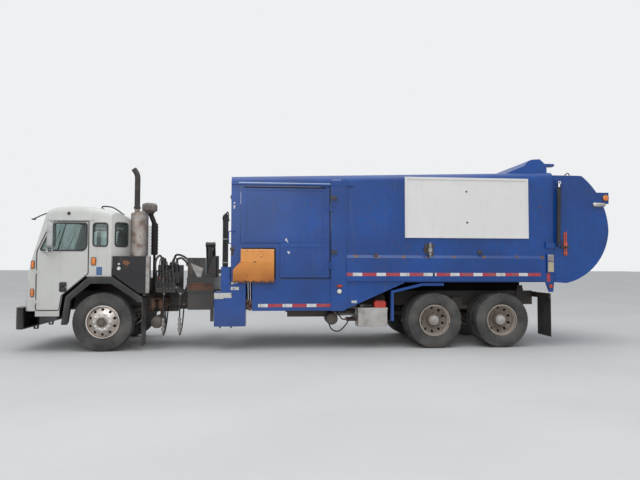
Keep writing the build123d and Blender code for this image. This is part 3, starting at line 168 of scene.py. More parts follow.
class Recipe:
    """A material whose nodes are added one call at a time."""

    def __init__(self, name):
        self.material = bpy.data.materials.new(name)
        self.material.use_nodes = True
        self.tree = self.material.node_tree
        self.tree.nodes.clear()
        self.shader = self.add("BsdfPrincipled")
        output = self.add("OutputMaterial")
        self.tree.links.new(self.shader.outputs[0], output.inputs[0])
        self.place = self.add("TexCoord").outputs["Object"]

    def add(self, kind, settings=None, **sockets):
        node = self.tree.nodes.new("ShaderNode" + kind)
        for key, value in (settings or {}).items():
            setattr(node, key, value)
        for key, value in sockets.items():
            self.put(node.inputs[key.replace("_", " ")], value)
        return node

    def put(self, socket, value):
        if isinstance(value, bpy.types.NodeSocket):
            self.tree.links.new(value, socket)
        elif isinstance(value, (tuple, list)) and len(value) == 3 and socket.type == "RGBA":
            socket.default_value = (*value, 1)
        else:
            socket.default_value = value

    def noise(self, scale, detail=4.0, stretch=(1, 1, 1), shift=(0, 0, 0)):
        """Cloudy noise from 0 to 1, pulled out along the axes where stretch is small."""
        moved = self.add("Mapping", Vector=self.place, Scale=stretch, Location=shift)
        return self.add("TexNoise", Vector=moved.outputs[0], Scale=scale, Detail=detail).outputs[0]

    def window(self, value, start, end, first=0.0, last=1.0):
        """first below start, last above end, and a smooth step between them."""
        node = self.add("MapRange", {"interpolation_type": "SMOOTHSTEP"}, Value=value)
        for key, number in (("From Min", start), ("From Max", end), ("To Min", first),
                            ("To Max", last)):
            node.inputs[key].default_value = number
        return node.outputs[0]

    def maths(self, operation, a, b, clamp):
        node = self.add("Math", {"operation": operation, "use_clamp": clamp})
        self.put(node.inputs[0], a)
        self.put(node.inputs[1], b)
        return node.outputs[0]

    def times(self, a, b):
        return self.maths("MULTIPLY", a, b, False)

    def larger(self, a, b):
        return self.maths("MAXIMUM", a, b, True)

    def blend(self, share, a, b):
        node = self.add("Mix", {"data_type": "RGBA"})
        self.put(node.inputs[0], share)
        self.put(node.inputs[6], a)
        self.put(node.inputs[7], b)
        return node.outputs[2]

    def height(self):
        return self.add("SeparateXYZ", Vector=self.place).outputs[2]

    def facing_up(self):
        """1 where the surface faces the sky, 0 on walls."""
        normal = self.add("NewGeometry").outputs["Normal"]
        return self.window(self.add("SeparateXYZ", Vector=normal).outputs[2], 0.3, 0.95)

    def spot(self, centre, radius):
        """1 within that distance of a place, with an edge that noise frays."""
        away = self.add("VectorMath", {"operation": "DISTANCE"})
        self.put(away.inputs[0], self.place)
        self.put(away.inputs[1], centre)
        frayed = self.window(self.noise(16, 6), 0.3, 0.7, 0.6, 2.2)
        ragged = self.times(away.outputs["Value"], frayed)
        return self.window(ragged, radius * 0.7, radius, 1.0, 0.0)

    def inside(self, front, back, half, top):
        """1 under the truck: between two X, within half of the middle, and lower than top."""
        x, y, z = self.add("SeparateXYZ", Vector=self.place).outputs
        share, off = self.window(x, front, front + EDGE), self.maths("ABSOLUTE", y, 0, False)
        for value, end in ((x, back), (off, half), (z, top)):
            share = self.times(share, self.window(value, end, end + EDGE, 1, 0))
        return share

    def relief(self, value, depth, below=None):
        """Bumps of that depth in metres, laid over the relief below them."""
        node = self.add("Bump", Height=value, Distance=depth, Strength=1.0)
        if below is not None:
            self.put(node.inputs["Normal"], below)
        return node.outputs[0]

    def end(self, colour, rough, normal=None, **plain):
        self.put(self.shader.inputs["Base Color"], colour)
        self.put(self.shader.inputs["Roughness"], rough)
        if normal is not None:
            self.put(self.shader.inputs["Normal"], normal)
        for key, value in plain.items():
            self.put(self.shader.inputs[key.replace("_", " ")], value)
        return self.material


def shade(colour, factor):
    return tuple(min(1.0, c * factor) for c in colour)


# %% [markdown]
# ## Paint
# Painted sheet metal on a working truck has a clear hard gloss where rain keeps it clean, a chalky
# fade on the roof, thin vertical streaks under every edge and a grey-brown film low down. `painted`
# stacks these: two noises for fading, one noise stretched along Z for the streaks, and the height
# above the ground for the film.
# %% Painted metal
DUST = (0.19, 0.165, 0.14)
RUST = (0.17, 0.065, 0.03)
# near-black for the undercoat beneath the cab and the body, which also paints the shade there
UNDERCOAT_AND_SHADE = (0.012, 0.012, 0.013)


def painted(name, colour, rough=0.28, coat=0.4, fade=0.12, sky_fade=0.25, streaks=0.35, dust=0.6,
            dust_from=1.15, chips=0.0, chip_colour=RUST, dust_colour=DUST, dust_to=0.25, spots=(),
            under=None):
    """Paint; the film thickens from dust_from down to dust_to, and under is a place turned near-black:
    undercoat with painted shade.
    """
    r = Recipe(name)
    broad = r.window(r.noise(0.9, 5), 0.3, 0.7)
    fine = r.window(r.noise(7, 6), 0.35, 0.68)
    base = r.blend(broad, shade(colour, 1 - fade), shade(colour, 1 + fade))
    base = r.blend(r.times(fine, 0.35), base, shade(colour, 1 - 1.6 * fade))
    chalk = tuple(c * 0.6 + 0.28 for c in colour)
    base = r.blend(r.times(r.facing_up(), sky_fade), base, chalk)
    run = r.window(r.noise(3, 5, (5.5, 5.5, 0.35)), 0.5, 0.78)
    run = r.times(r.times(run, fine), streaks)
    film = r.times(r.window(r.height(), dust_from, dust_to), dust)
    film = r.times(film, r.window(r.noise(2.4, 6), 0.2, 0.7, 0.35, 1.0))
    dirt = r.larger(run, film)
    base = r.blend(dirt, base, dust_colour)
    worn = r.window(r.noise(26, 8), 0.665 - 0.06 * chips, 0.69 - 0.06 * chips)
    worn = r.times(worn, r.window(r.noise(1.7, 3, shift=(4, 2, 1)), 0.45, 0.62))
    worn = r.times(worn, 1.0 if chips > 0 else 0.0)
    base = r.blend(worn, base, chip_colour)
    for centre, radius, mark in spots:
        base = r.blend(r.spot(centre, radius), base, mark)
    gloss = r.window(r.larger(dirt, worn), 0.0, 0.7, rough, 0.82)
    shine = 0.5
    # under: undercoat and painted shade turn the paint near-black and matt beneath the truck
    if under:
        undercoat_shade_share = r.inside(*under)
        base = r.blend(undercoat_shade_share, base, UNDERCOAT_AND_SHADE)
        gloss = r.larger(gloss, r.times(undercoat_shade_share, 0.95))
        coat, shine = r.window(undercoat_shade_share, 0, 1, coat, 0.0), r.window(undercoat_shade_share, 0, 1, 0.5, 0.05)
    peel = r.relief(r.noise(240, 2), 0.00012)
    waves = r.relief(r.noise(1.3, 2, shift=(7, 7, 7)), 0.006, peel)
    scars = r.relief(r.times(worn, -1.0), 0.0006, waves)
    return r.end(base, gloss, scars, Coat_Weight=coat, Coat_Roughness=0.08, Specular_IOR_Level=shine)


# %% Paints of this truck
BLUE, WHITE = (0.002, 0.058, 0.275), (0.63, 0.63, 0.60)
PALE, BROWN = (0.6, 0.62, 0.65), (0.16, 0.07, 0.035)
belt_rust = [((at(s), -1.235, 1.742), 0.05, BROWN) for s in (4.62, 5.02, 5.52, 5.98, 6.5, 7.1, 7.75, 8.25)]
scuffs = [((at(s), -SIDE, z), size, PALE) for s, z, size in
          ((3.3, 2.035, 0.045), (3.35, 1.81, 0.04), (3.2, 2.18, 0.012), (3.54, 2.165, 0.012))]
# colour, roughness, coat, fade, fade of the roof, streaks, dust, height where the dust starts, chips and
# their colour; what is left out stays as in `painted`
PAINTS = {
    "body_blue": (BLUE, 0.36, 0.12, 0.2, 0.12, 0.14, 0.15, 1.2, 0.2),
    "cab_white": (WHITE, 0.24, 0.5, 0.04, 0.1, 0.22, 0.5, 1.1),
    "bumper_black": ((0.007, 0.007, 0.008), 0.4, 0.1, 0.3, 0.1, 0.2, 0.2, 1.0, 0.3),
    "frame_black": ((0.018, 0.018, 0.02), 0.5, 0.0, 0.25, 0.3, 0.5, 0.75, 1.7, 0.7),
    "arm_black": ((0.02, 0.02, 0.022), 0.45, 0.1, 0.25, 0.3, 0.5, 0.6, 1.5, 1.0),
    "orange": ((0.74, 0.28, 0.045), 0.4, 0.1, 0.07, 0.3, 0.4, 0.8, 1.68, 0.4),
    "panel_white": ((0.80, 0.785, 0.765), 0.4, 0.1, 0.02, 0.1, 0.12, 0.05),
    "battery_box": ((0.006, 0.006, 0.010), 0.45, 0.0, 0.3, 0.2, 0.3, 0.25, 1.5, 0.3),
    "hatch_white": ((0.2, 0.3, 0.5), 0.2, 0.5, 0.1, 0.5, 0.3, 0.0),
    "label": ((0.6, 0.6, 0.57), 0.6, 0.0, 0.05, 0.0, 0.7, 0.4, 1.3, 1.0, (0.25, 0.24, 0.22)),
    "label_beige": ((0.5, 0.45, 0.3), 0.6, 0.0, 0.08, 0.0, 0.5, 0.2, 1.3, 0.6),
    "label_blue": ((0.08, 0.16, 0.34), 0.5, 0.0, 0.1, 0.0, 0.4),
    "red_paint": ((0.5, 0.03, 0.02), 0.4, 0.1, 0.15, 0.2, 0.3, 0.3),
    "prop_orange": ((0.6, 0.1, 0.04), 0.45, 0.1, 0.15, 0.2, 0.4, 0.2, 1.2, 1.0),
    "wheel_steel": ((0.40, 0.34, 0.29), 0.6, 0.0, 0.25, 0.1, 0.2, 0.45, 1.6, 1.2, (0.12, 0.055, 0.03)),
}
SPECIAL = {
    # under: where the paint turns near-black beneath the body and the cab, undercoat with painted shade
    "body_blue": dict(spots=belt_rust + scuffs, under=(at(4.35), at(8.45), 1.1, 1.3)),
    "cab_white": dict(under=(at(-1.1), at(0.5), 1.165, 1.5)),
    "orange": dict(dust_colour=(0.28, 0.07, 0.02), dust_to=1.2),
    "battery_box": dict(spots=[((at(0.4), -1.19, 1.6), 0.075, (0.2, 0.075, 0.03))]),
}
finishes = {name: painted(name, *values, **SPECIAL.get(name, {})) for name, values in PAINTS.items()}
print("painted finishes", len(finishes))

# %% [markdown]
# ## Metals, rubber, plastic and glass
# Bare metal keeps its colour and changes in roughness: brushed aluminium wheels with dark water marks,
# a heat-stained exhaust, greasy cast iron. Rubber is nearly black, and the dust that lies in it makes
# it grey. The cab's glass is a thin green-blue tint.
# %% Bare metals


def bare_metal(name, colour, rough, stain, stain_share, grain=0.00008, stretch=(1, 1, 1), metal=1.0,
               dust=0.35, soot=None):
    """Metal that keeps its colour; soot is the height where it starts and the height where all is black."""
    r = Recipe(name)
    cloud = r.window(r.noise(5, 7), 0.35, 0.72)
    spots = r.window(r.noise(38, 6), 0.55, 0.72)
    marks = r.times(r.larger(cloud, spots), stain_share)
    base = r.blend(marks, colour, stain)
    film = r.times(r.window(r.height(), 1.3, 0.2), dust)
    film = r.times(film, r.window(r.noise(4, 5), 0.3, 0.65, 0.4, 1.0))
    base = r.blend(film, base, DUST)
    if soot:
        black = r.window(r.height(), *soot, 0, 0.95)
        base = r.blend(black, base, (0.02, 0.018, 0.017))
        marks = r.larger(marks, black)
    brushed = r.noise(120, 3, stretch)
    gloss = r.window(r.larger(marks, film), 0.0, 0.8, rough, 0.75)
    solid = r.window(film, 0.0, 0.6, metal, metal * 0.3)
    normal = r.relief(brushed, grain, r.relief(r.noise(3, 2), 0.002))
    return r.end(base, gloss, normal, Metallic=solid)


# colour, roughness, stain, how much of the stain, and what else differs from `bare_metal`
METALS = {
    "wheel_aluminium": ((0.78, 0.72, 0.67), 0.4, (0.2, 0.15, 0.12), 0.5, dict(dust=0.2)),
    "plain_aluminium": ((0.6, 0.58, 0.56), 0.42, (0.24, 0.21, 0.18), 0.5, dict(stretch=(1, 1, 14))),
    "exhaust_steel": ((0.42, 0.38, 0.35), 0.38, (0.19, 0.12, 0.08), 0.75,
                      dict(grain=0.00012, stretch=(12, 12, 1), soot=(2.6, 2.85))),
    "cleaner_metal": ((0.26, 0.23, 0.21), 0.55, (0.1, 0.075, 0.06), 0.7, dict(metal=0.4, soot=(2.58, 2.52))),
    # flat black that paints shade: behind the wheels' hand holes, in the service door's gaps and behind the
    # orange cover
    "hole_black": ((0.006, 0.006, 0.006), 0.8, (0.02, 0.015, 0.012), 0.4, dict(metal=0.0, dust=0.0)),
    "rod_chrome": ((0.8, 0.8, 0.82), 0.09, (0.4, 0.38, 0.36), 0.18, dict(dust=0.1)),
    "axle_iron": ((0.075, 0.065, 0.058), 0.62, (0.16, 0.12, 0.09), 0.6,
                  dict(grain=0.0006, metal=0.35, dust=0.7)),
    "mirror_plastic": ((0.5, 0.5, 0.5), 0.42, (0.28, 0.27, 0.26), 0.5, dict(metal=0.7, dust=0.1)),
    "mirror_glass": ((0.86, 0.87, 0.88), 0.03, (0.5, 0.5, 0.5), 0.1, dict(grain=0.0)),
    "galvanised": ((0.4, 0.39, 0.38), 0.5, (0.2, 0.13, 0.09), 0.6, dict(metal=0.6)),
    "rusty_iron": ((0.15, 0.07, 0.045), 0.8, (0.05, 0.03, 0.025), 0.8,
                   dict(grain=0.0008, metal=0.1, dust=0.3)),
}
for name, (*values, other) in METALS.items():
    finishes[name] = bare_metal(name, *values, **other)
print("bare metals", *METALS)

# %% Rubber and plastic


def rubber(name, colour, rough, dusty, grain, dust_scale=3.0):
    r = Recipe(name)
    cloud = r.window(r.noise(dust_scale, 7), 0.3, 0.7)
    grit = r.window(r.noise(55, 5), 0.45, 0.7)
    film = r.times(r.larger(cloud, r.times(grit, 0.7)), dusty)
    base = r.blend(film, colour, (0.2, 0.19, 0.175))
    normal = r.relief(r.noise(420, 3), grain, r.relief(r.noise(30, 4), 0.0008))
    return r.end(base, r.window(film, 0, 0.6, rough, 0.92), normal)


# colour, roughness, share of dust, depth of the grain and scale of the dust
RUBBERS = {
    "tyre": ((0.022, 0.022, 0.023), 0.55, 0.55, 0.00015),
    "black_rubber": ((0.02, 0.02, 0.021), 0.5, 0.3, 0.0001),
    "stack_black": ((0.018, 0.015, 0.014), 0.6, 0.2, 0.0004, 9.0),
    "dark_plastic": ((0.014, 0.014, 0.015), 0.4, 0.12, 0.0001),
    "dash_plastic": ((0.05, 0.05, 0.055), 0.55, 0.15, 0.0002),
}
for name, values in RUBBERS.items():
    finishes[name] = rubber(name, *values)
print("rubber and plastic", *RUBBERS)

# %% Glass and seat cloth


def glass():
    r = Recipe("glass")
    haze = r.window(r.noise(2.2, 6, (1, 1, 0.5)), 0.5, 0.85, 0.02, 0.16)
    ripple = r.relief(r.noise(2.5, 1), 0.0006)
    return r.end((0.5, 0.6, 0.585), haze, ripple, Transmission_Weight=0.94, IOR=1.35, Coat_Weight=0.3)


finishes["glass"] = glass()


def cloth():
    r = Recipe("seat_cloth")
    weave = r.add("TexWave", Vector=r.place, Scale=190.0, Distortion=0.4).outputs[1]
    cross = r.add("TexWave", {"bands_direction": "Z"}, Vector=r.place, Scale=190.0).outputs[1]
    threads = r.times(weave, cross)
    base = r.blend(r.window(r.noise(6, 5), 0.3, 0.7), (0.045, 0.045, 0.052), (0.08, 0.078, 0.082))
    base = r.blend(r.times(threads, 0.4), base, (0.13, 0.125, 0.125))
    return r.end(base, 0.9, r.relief(threads, 0.0006), Sheen_Weight=0.3)


finishes["seat_cloth"] = cloth()

# %% [markdown]
# ## Floor
# The ground is a wide plane of pale, slightly cloudy concrete. It only carries the shadow, and it
# rides on no body of the truck.
# %% Floor


def floor_finish():
    r = Recipe("studio_floor")
    cloud = r.window(r.noise(0.4, 4), 0.3, 0.7)
    base = r.blend(cloud, (0.56, 0.56, 0.555), (0.6, 0.6, 0.595))
    return r.end(base, 0.85, r.relief(r.noise(60, 3), 0.0004))


bpy.ops.mesh.primitive_plane_add(size=160, location=(0, 30, 0))
floor = bpy.context.object
floor.name = "studio_floor"
floor.data.materials.append(floor_finish())
print("floor", floor.dimensions.x, "m wide")

# %% [markdown]
# ## Finishes of the CAD pieces
# The CAD model names a material for each piece. A few pieces get a finish of their own, because pieces
# that share a material there differ on the real truck.
# %% Hand the finishes to the CAD pieces
slots = {entry["node"]: entry["material_slot"] for entry in frame["record"]["subparts"]}
OTHER = {"battery_box": "battery_box", "bumper": "bumper_black", "cab_steps": "cab_white",
         "air_cleaner": "cleaner_metal"}
for name, thing in nodes.items():
    for index in range(len(thing.material_slots)):
        thing.material_slots[index].material = finishes[OTHER.get(name, slots[name])]
print("finished", len(nodes), "CAD pieces with", len(finishes), "finishes")

# %% [markdown]
# ## Surfaces from arrays
# Small parts could be modelled by hand or with operators. Here each is a surface worked out at once
# with numpy: a grid of points over two parameters, or an outline carried along a path. `lattice` turns
# any such grid into quads, and `piece` joins surfaces into one object that rides on a body.
# %% Grids and patches
ACROSS = {"x": (1, 2), "y": (0, 2), "z": (0, 1)}    # the two axes of the plane across each axis


def lattice(points, around=False, along=False):
    """Quads over a grid of points (rows, columns, 3); around closes the columns and along closes the rows."""
    rows, columns = points.shape[:2]
    i = np.arange(rows if along else rows - 1)[:, None]
    j = np.arange(columns if around else columns - 1)[None, :]

    def index(a, b):
        return (a % rows) * columns + b % columns

    quads = np.stack([index(i, j), index(i + 1, j), index(i + 1, j + 1), index(i, j + 1)], -1)
    return points.reshape(-1, 3), [quads.reshape(-1, 4)]


def joined(patches):
    """Several patches as one: their points end to end, and their faces renumbered."""
    points, faces, start = [], [], 0
    for verts, groups in patches:
        points.append(verts)
        faces += [group + start for group in groups]
        start += len(verts)
    return np.concatenate(points), faces


def moved(patch, offset=(0, 0, 0), flip=(1, 1, 1)):
    """The patch times flip, then shifted by offset."""
    return patch[0] * np.array(flip, float) + np.array(offset, float), patch[1]


def turned(patch, axis, angle, centre):
    """The patch turned about a line through centre, along the axis named x, y or z."""
    matrix = np.array(Matrix.Rotation(angle, 3, axis.upper()))
    return (patch[0] - centre) @ matrix.T + centre, patch[1]


# %% Boxes, outlines and turned shapes


def box(x0, x1, y0, y1, z0, z1):
    """The eight corners of a box: every choice of one x, one y and one z."""
    corners = np.array([(x, y, z) for x in (x0, x1) for y in (y0, y1) for z in (z0, z1)], float)
    sides = np.array([(0, 1, 3, 2), (4, 6, 7, 5), (0, 4, 5, 1), (2, 3, 7, 6), (0, 2, 6, 4), (1, 5, 7, 3)])
    return corners, [sides]


def prism(outline, axis, start, end):
    """A flat outline carried straight along an axis. The outline gives the two other axes, in order."""
    grid = np.zeros((2, len(outline), 3))
    grid[:, :, ACROSS[axis]] = outline
    grid[:, :, "xyz".index(axis)] = [[start], [end]]
    points, quads = lattice(grid, around=True)
    ring = np.arange(len(outline))[None, :]
    return points, quads + [ring, ring + len(outline)]


def rounded(width, height, radius, centre=(0, 0), steps=5):
    """A rectangle's outline whose corners are quarter circles."""
    t = np.linspace(0, math.pi / 2, steps)
    outline = []
    for k, (sx, sy) in enumerate(((1, 1), (-1, 1), (-1, -1), (1, -1))):
        angle = t + k * math.pi / 2
        cx = centre[0] + sx * (width / 2 - radius)
        cy = centre[1] + sy * (height / 2 - radius)
        outline.append(np.stack([cx + radius * np.cos(angle), cy + radius * np.sin(angle)], 1))
    return np.concatenate(outline)


def lathe(centre, profile, sides=24, axis="y", toward=-1):
    """A profile of (radius, height) turned about an axis, its height running from centre that way."""
    r, t = np.array(profile, float).T[:, None]
    angle = np.linspace(0, 2 * math.pi, sides, endpoint=False)
    c, s = np.cos(angle)[:, None], np.sin(angle)[:, None]
    order = {"x": (t + 0 * c, r * c, r * s), "y": (r * c, t + 0 * c, r * s), "z": (r * c, r * s, t + 0 * c)}
    flip = [toward if name == axis else 1 for name in "xyz"]
    return moved(lattice(np.stack(order[axis], -1), along=True), centre, flip)


def bolt(centre, radius=0.012, height=0.009, axis="y", toward=-1):
    """A hexagon head on a washer: two stepped rings turned with six and twelve sides."""
    head = [(0, height), (radius * 0.8, height), (radius, height * 0.8), (radius, 0)]
    washer = [(radius, 0.002), (radius * 1.45, 0.002), (radius * 1.45, -0.002)]
    return joined([lathe(centre, head, 6, axis, toward), lathe(centre, washer, 12, axis, toward)])


# %% Curves, bars and pipes


def smooth(points, steps=6):
    """A Catmull-Rom curve through the points: each stretch is a cubic that heads for its neighbours."""
    p = np.array(points, float)
    p = np.concatenate([2 * p[:1] - p[1:2], p, 2 * p[-1:] - p[-2:-1]])
    t = np.linspace(0, 1, steps, endpoint=False)[None, :, None]
    a, b, c, d = p[:-3, None], p[1:-2, None], p[2:-1, None], p[3:, None]
    curve = b + 0.5 * t * (c - a + t * (2 * a - 5 * b + 4 * c - d + t * (3 * (b - c) + d - a)))
    return np.concatenate([curve.reshape(-1, 3), p[-2:-1]])


def carried(outline, path, closed=False, normal=None):
    """A flat outline carried along a path, its first axis along normal, or else turned untwisted."""
    path, outline = np.array(path, float), np.array(outline, float)
    if closed:
        ahead = np.roll(path, -1, 0) - np.roll(path, 1, 0)
    else:
        ahead = np.gradient(path, axis=0)
    ahead /= np.linalg.norm(ahead, axis=1)[:, None]
    side = np.cross(ahead[0], (0.0, 0.0, 1.0))
    if np.linalg.norm(side) < 0.1:
        side = np.cross(ahead[0], (0.0, 1.0, 0.0))
    sides = []
    for direction in ahead:
        side = side - direction * side.dot(direction)
        side = side / np.linalg.norm(side)
        sides.append(side)
    sides = np.array(sides if normal is None else [normal] * len(path), float)
    ups = np.cross(sides, ahead)
    across, upward = outline[None, :, 0, None], outline[None, :, 1, None]
    grid = path[:, None] + sides[:, None] * across + ups[:, None] * upward
    points, quads = lattice(grid, around=True, along=closed)
    if not closed:
        ring = np.arange(len(outline))[None, :]
        quads += [ring, ring + len(points) - len(outline)]
    return points, quads


def tube(path, radius, sides=12):
    """A round bar or pipe along a path."""
    angle = np.linspace(0, 2 * math.pi, sides, endpoint=False)
    return carried(np.stack([np.cos(angle), np.sin(angle)], 1) * radius, path)


def path(*points):
    """Points given by station, y and z."""
    return [(at(s), y, z) for s, y, z in points]


def bent(points, radius, steps=5, sides=10):
    """A round bar along a smooth curve through the points."""
    return tube(smooth(path(*points), steps), radius, sides)


def each(make, places, *how, **more):
    """The same small part made at every place."""
    return [make(place, *how, **more) for place in path(*places)]


# %% One object from many patches
made = {}
TRUCK, BODY, GATE = "truck", "refuse_body", "rear_gate"


def piece(name, patches, finish, body, replaces=(), corner=35, bevel=0.0):
    """Joins patches into one object, turns its faces outwards, and lets it ride on a body."""
    points, faces = joined(patches)
    mesh = bpy.data.meshes.new(name)
    mesh.from_pydata(points.tolist(), [], [face for group in faces for face in group.tolist()])
    work = bmesh.new()
    work.from_mesh(mesh)
    bmesh.ops.remove_doubles(work, verts=work.verts, dist=1e-5)
    bmesh.ops.dissolve_degenerate(work, edges=work.edges, dist=1e-6)
    bmesh.ops.recalc_face_normals(work, faces=work.faces)
    work.to_mesh(mesh)
    work.free()
    mesh.polygons.foreach_set("use_smooth", np.ones(len(mesh.polygons), bool))
    mesh.set_sharp_from_angle(angle=math.radians(corner))
    thing = bpy.data.objects.new(name, mesh)
    scene.collection.objects.link(thing)
    mesh.materials.append(finishes[finish])
    if bevel:
        edge = thing.modifiers.new("edge", "BEVEL")
        edge.width, edge.segments, edge.limit_method = bevel, 2, "ANGLE"
        edge.angle_limit = math.radians(50)
        edge.harden_normals = True
    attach(thing, body)
    if replaces:
        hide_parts(*replaces)
    made[name] = len(mesh.polygons)
    return thing


def tell(cell):
    """Prints how much there is once a cell is done."""
    print(f"{cell}: {len(made)} pieces so far, {sum(made.values())} faces")


# %% [markdown]
# ## Tyres
# A truck tyre is a ring whose cross-section changes only in its tread. So it is one grid: columns run
# across the section from bead to bead and back along the liner, rows run round the wheel. Grooves
# lower the radius of some columns, and the cuts between tread blocks lower some rows of those columns.
# The steering tyres have plain ribs, and the driven ones have blocks.
# %% A tyre's section
RIM_SEAT = 0.2873
GROOVE_DEEP, SIPE_DEEP = 0.012, 0.006
TWIN_OFFSET = 0.17              # from the middle of a pair to each tyre
# each groove is (centre, half its width)
STEER = dict(width=0.312, rim_half=0.115, pitches=54, block_depth=0,
             grooves=[(0.082, 0.0045), (0.029, 0.006), (-0.029, 0.006), (-0.082, 0.0045)])
DRIVE = dict(width=0.279, rim_half=0.105, pitches=60, block_depth=0.011,
             grooves=[(0.06, 0.004), (0.018, 0.005), (-0.018, 0.005), (-0.06, 0.004)])


def tyre_section(radius, width, rim_half, grooves):
    """Columns of the grid: (distance across, radius, 1 in a groove, 1 where blocks are cut)."""
    w, tread = width / 2, width / 2 - 0.034
    wall = [(rim_half - 0.013, RIM_SEAT), (rim_half - 0.013, 0.3), (rim_half - 0.002, 0.309),
            (rim_half + 0.006, 0.318), (w - 0.02, 0.333), (w - 0.017, 0.341), (w - 0.009, 0.344),
            (w - 0.004, 0.37), (w, 0.4), (w - 0.001, 0.425), (w - 0.006, 0.447), (w - 0.004, 0.452),
            (w - 0.011, radius - 0.058)]
    shoulder = [(w - 0.009, radius - 0.05), (w - 0.014, radius - 0.032), (w - 0.02, radius - 0.016),
                (w - 0.027, radius - 0.006)]
    columns = [(t, r, 0, 0) for t, r in wall] + [(t, r, 0, 1) for t, r in shoulder]
    across = [(tread, 0, 1)]
    for centre, half in sorted(grooves, reverse=True):
        for t, cut in ((half + 0.003, 0), (half, 1), (-half, 1), (-half - 0.003, 0)):
            across.append((centre + t, cut, 1))
    columns += [(t, radius - 0.005 * (t / tread) ** 2, g, b) for t, g, b in across]
    columns += [(-t, r, 0, 1) for t, r in reversed(shoulder)] + [(-t, r, 0, 0) for t, r in reversed(wall)]
    liner = [(rim_half - 0.035, RIM_SEAT), (w - 0.034, 0.34), (w - 0.022, 0.4), (w - 0.05, radius - 0.035)]
    columns += [(-t, r, 0, 0) for t, r in liner] + [(t, r, 0, 0) for t, r in reversed(liner)]
    return np.array(columns)


# %% Tyres


def tyre(station, y, radius, width, rim_half, grooves, pitches, block_depth):
    """Rows at four angles a block: the block's two ends and the cut's two ends, sheared into chevrons."""
    t, r, groove, block = tyre_section(radius, width, rim_half, grooves).T
    share = np.array([0.0, 0.66, 0.74, 0.93])
    cut = np.tile([0.0, 0.0, 1.0, 1.0], pitches)[:, None]
    turn = (np.arange(pitches)[:, None] + share[None, :]).reshape(-1, 1) / pitches
    edge = (np.abs(t) > width / 2 - 0.06) if block_depth == 0 else (np.abs(t) < width)
    lower = np.maximum(groove * GROOVE_DEEP, cut * block * edge * max(block_depth, SIPE_DEEP))
    shear = np.where(block > 0, np.abs(t) / width * 0.9, 0.45) / pitches
    angle = 2 * math.pi * (turn + shear[None, :])
    height = r[None, :] - lower
    grid = np.stack([at(station) + height * np.cos(angle), y + t[None, :] + 0 * angle,
                     radius + height * np.sin(angle)], -1)
    return lattice(grid, around=True, along=True)


sides = (("left", -1), ("right", 1))


def wheel_centre(node):
    low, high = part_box(node)
    return (low + high) / 2, (high.z - low.z) / 2


for name, side in sides:
    centre, radius = wheel_centre(f"front_tyre_{name}")
    ring = tyre(centre.x - AXLE, centre.y, radius, **STEER)
    piece(f"steer_tyre_{name}", [ring], "tyre", f"front_wheel_{name}_body", (f"front_tyre_{name}",), 30)
    for number in (1, 2):
        tag = f"{name}_{number}"
        centre, radius = wheel_centre(f"dual_tyres_{tag}")
        rings = [tyre(centre.x - AXLE, centre.y + way * TWIN_OFFSET, radius, **DRIVE) for way in (-1, 1)]
        piece(f"drive_tyres_{tag}", rings, "tyre", f"rear_wheels_{tag}", (f"dual_tyres_{tag}",), 30)
tell("tyres")

# %% [markdown]
# ## Nuts and hubs
# Ten nuts hold each wheel on a circle of 285 mm. The front hub shows a dark oil cap with its own small
# bolts, the rear ones a pale, worn axle cap. Behind the disc's hand holes the hub lies in shade, and a
# black ring paints that shade.
# %% Wheel nuts and hub caps
NUT_CIRCLE = 0.1425
NUT = [(0, 0.038), (0.008, 0.036), (0.0145, 0.03), (0.0165, 0.027), (0.0165, 0.004)]
COLLAR = [(0.0165, 0.004), (0.022, 0.003), (0.022, -0.003)]
# the profile of the black ring that paints the shade in the hub; how far out the nuts sit, and their
# finish; the cap's profile; the circle, depth and radius of the cap's bolts; the cap's finish
HUBS = {
    "front": ([(0.19, 0.1175), (0.255, 0.0755), (0.255, 0.0775), (0.19, 0.1195), (0.19, 0.1175)],
              0.152, "rod_chrome",
              [(0, 0.225), (0.03, 0.224), (0.05, 0.218), (0.056, 0.208), (0.058, 0.196), (0.082, 0.194),
               (0.086, 0.19), (0.086, 0.18)],
              0.072, 0.194, 0.006, "axle_iron"),
    "rear": ([(0.19, 0.0285), (0.26, 0.0915), (0.26, 0.0935), (0.19, 0.0305), (0.19, 0.0285)],
             0.024, "wheel_steel",
             [(0, 0.243), (0.045, 0.242), (0.066, 0.234), (0.07, 0.222), (0.09, 0.22), (0.096, 0.214),
              (0.1, 0.14)],
             0.083, 0.22, 0.007, "plain_aluminium"),
}


def around(patch, centre, count, first=0.0):
    """Copies of a patch turned about the wheel's own axis."""
    return [turned(patch, "y", 2 * math.pi * (k + first) / count, np.array(centre)) for k in range(count)]


def dress_hub(part, tag, node, side, body):
    """The black ring of painted shade, ten nuts, and a turned cap with eight small bolts on its flange."""
    shade_ring, nut_face, nut_finish, profile, circle, depth, radius, cap_finish = HUBS[part]
    centre, _ = wheel_centre(node)
    x, y, z = centre
    piece(f"{part}_hole_shade_{tag}", [lathe(centre, shade_ring, 48, toward=side)], "hole_black", body)
    start = (x + NUT_CIRCLE, y + side * nut_face, z)
    nut = joined([lathe(start, NUT, 6, toward=side), lathe(start, COLLAR, 14, toward=side)])
    piece(f"{part}_nuts_{tag}", around(nut, centre, 10), nut_finish, body, corner=30)
    small = bolt((x + circle, y + side * depth, z), radius, 0.006, toward=side)
    cap = [lathe(centre, profile, 32, toward=side)] + around(small, centre, 8, 0.5)
    piece(f"{part}_hub_cap_{tag}", cap, cap_finish, body, corner=30)


for name, side in sides:
    dress_hub("front", name, f"front_tyre_{name}", side, f"front_wheel_{name}_body")
    for number in (1, 2):
        tag = f"{name}_{number}"
        dress_hub("rear", tag, f"dual_wheels_{tag}", side, f"rear_wheels_{tag}")
tell("wheel nuts and hub caps")
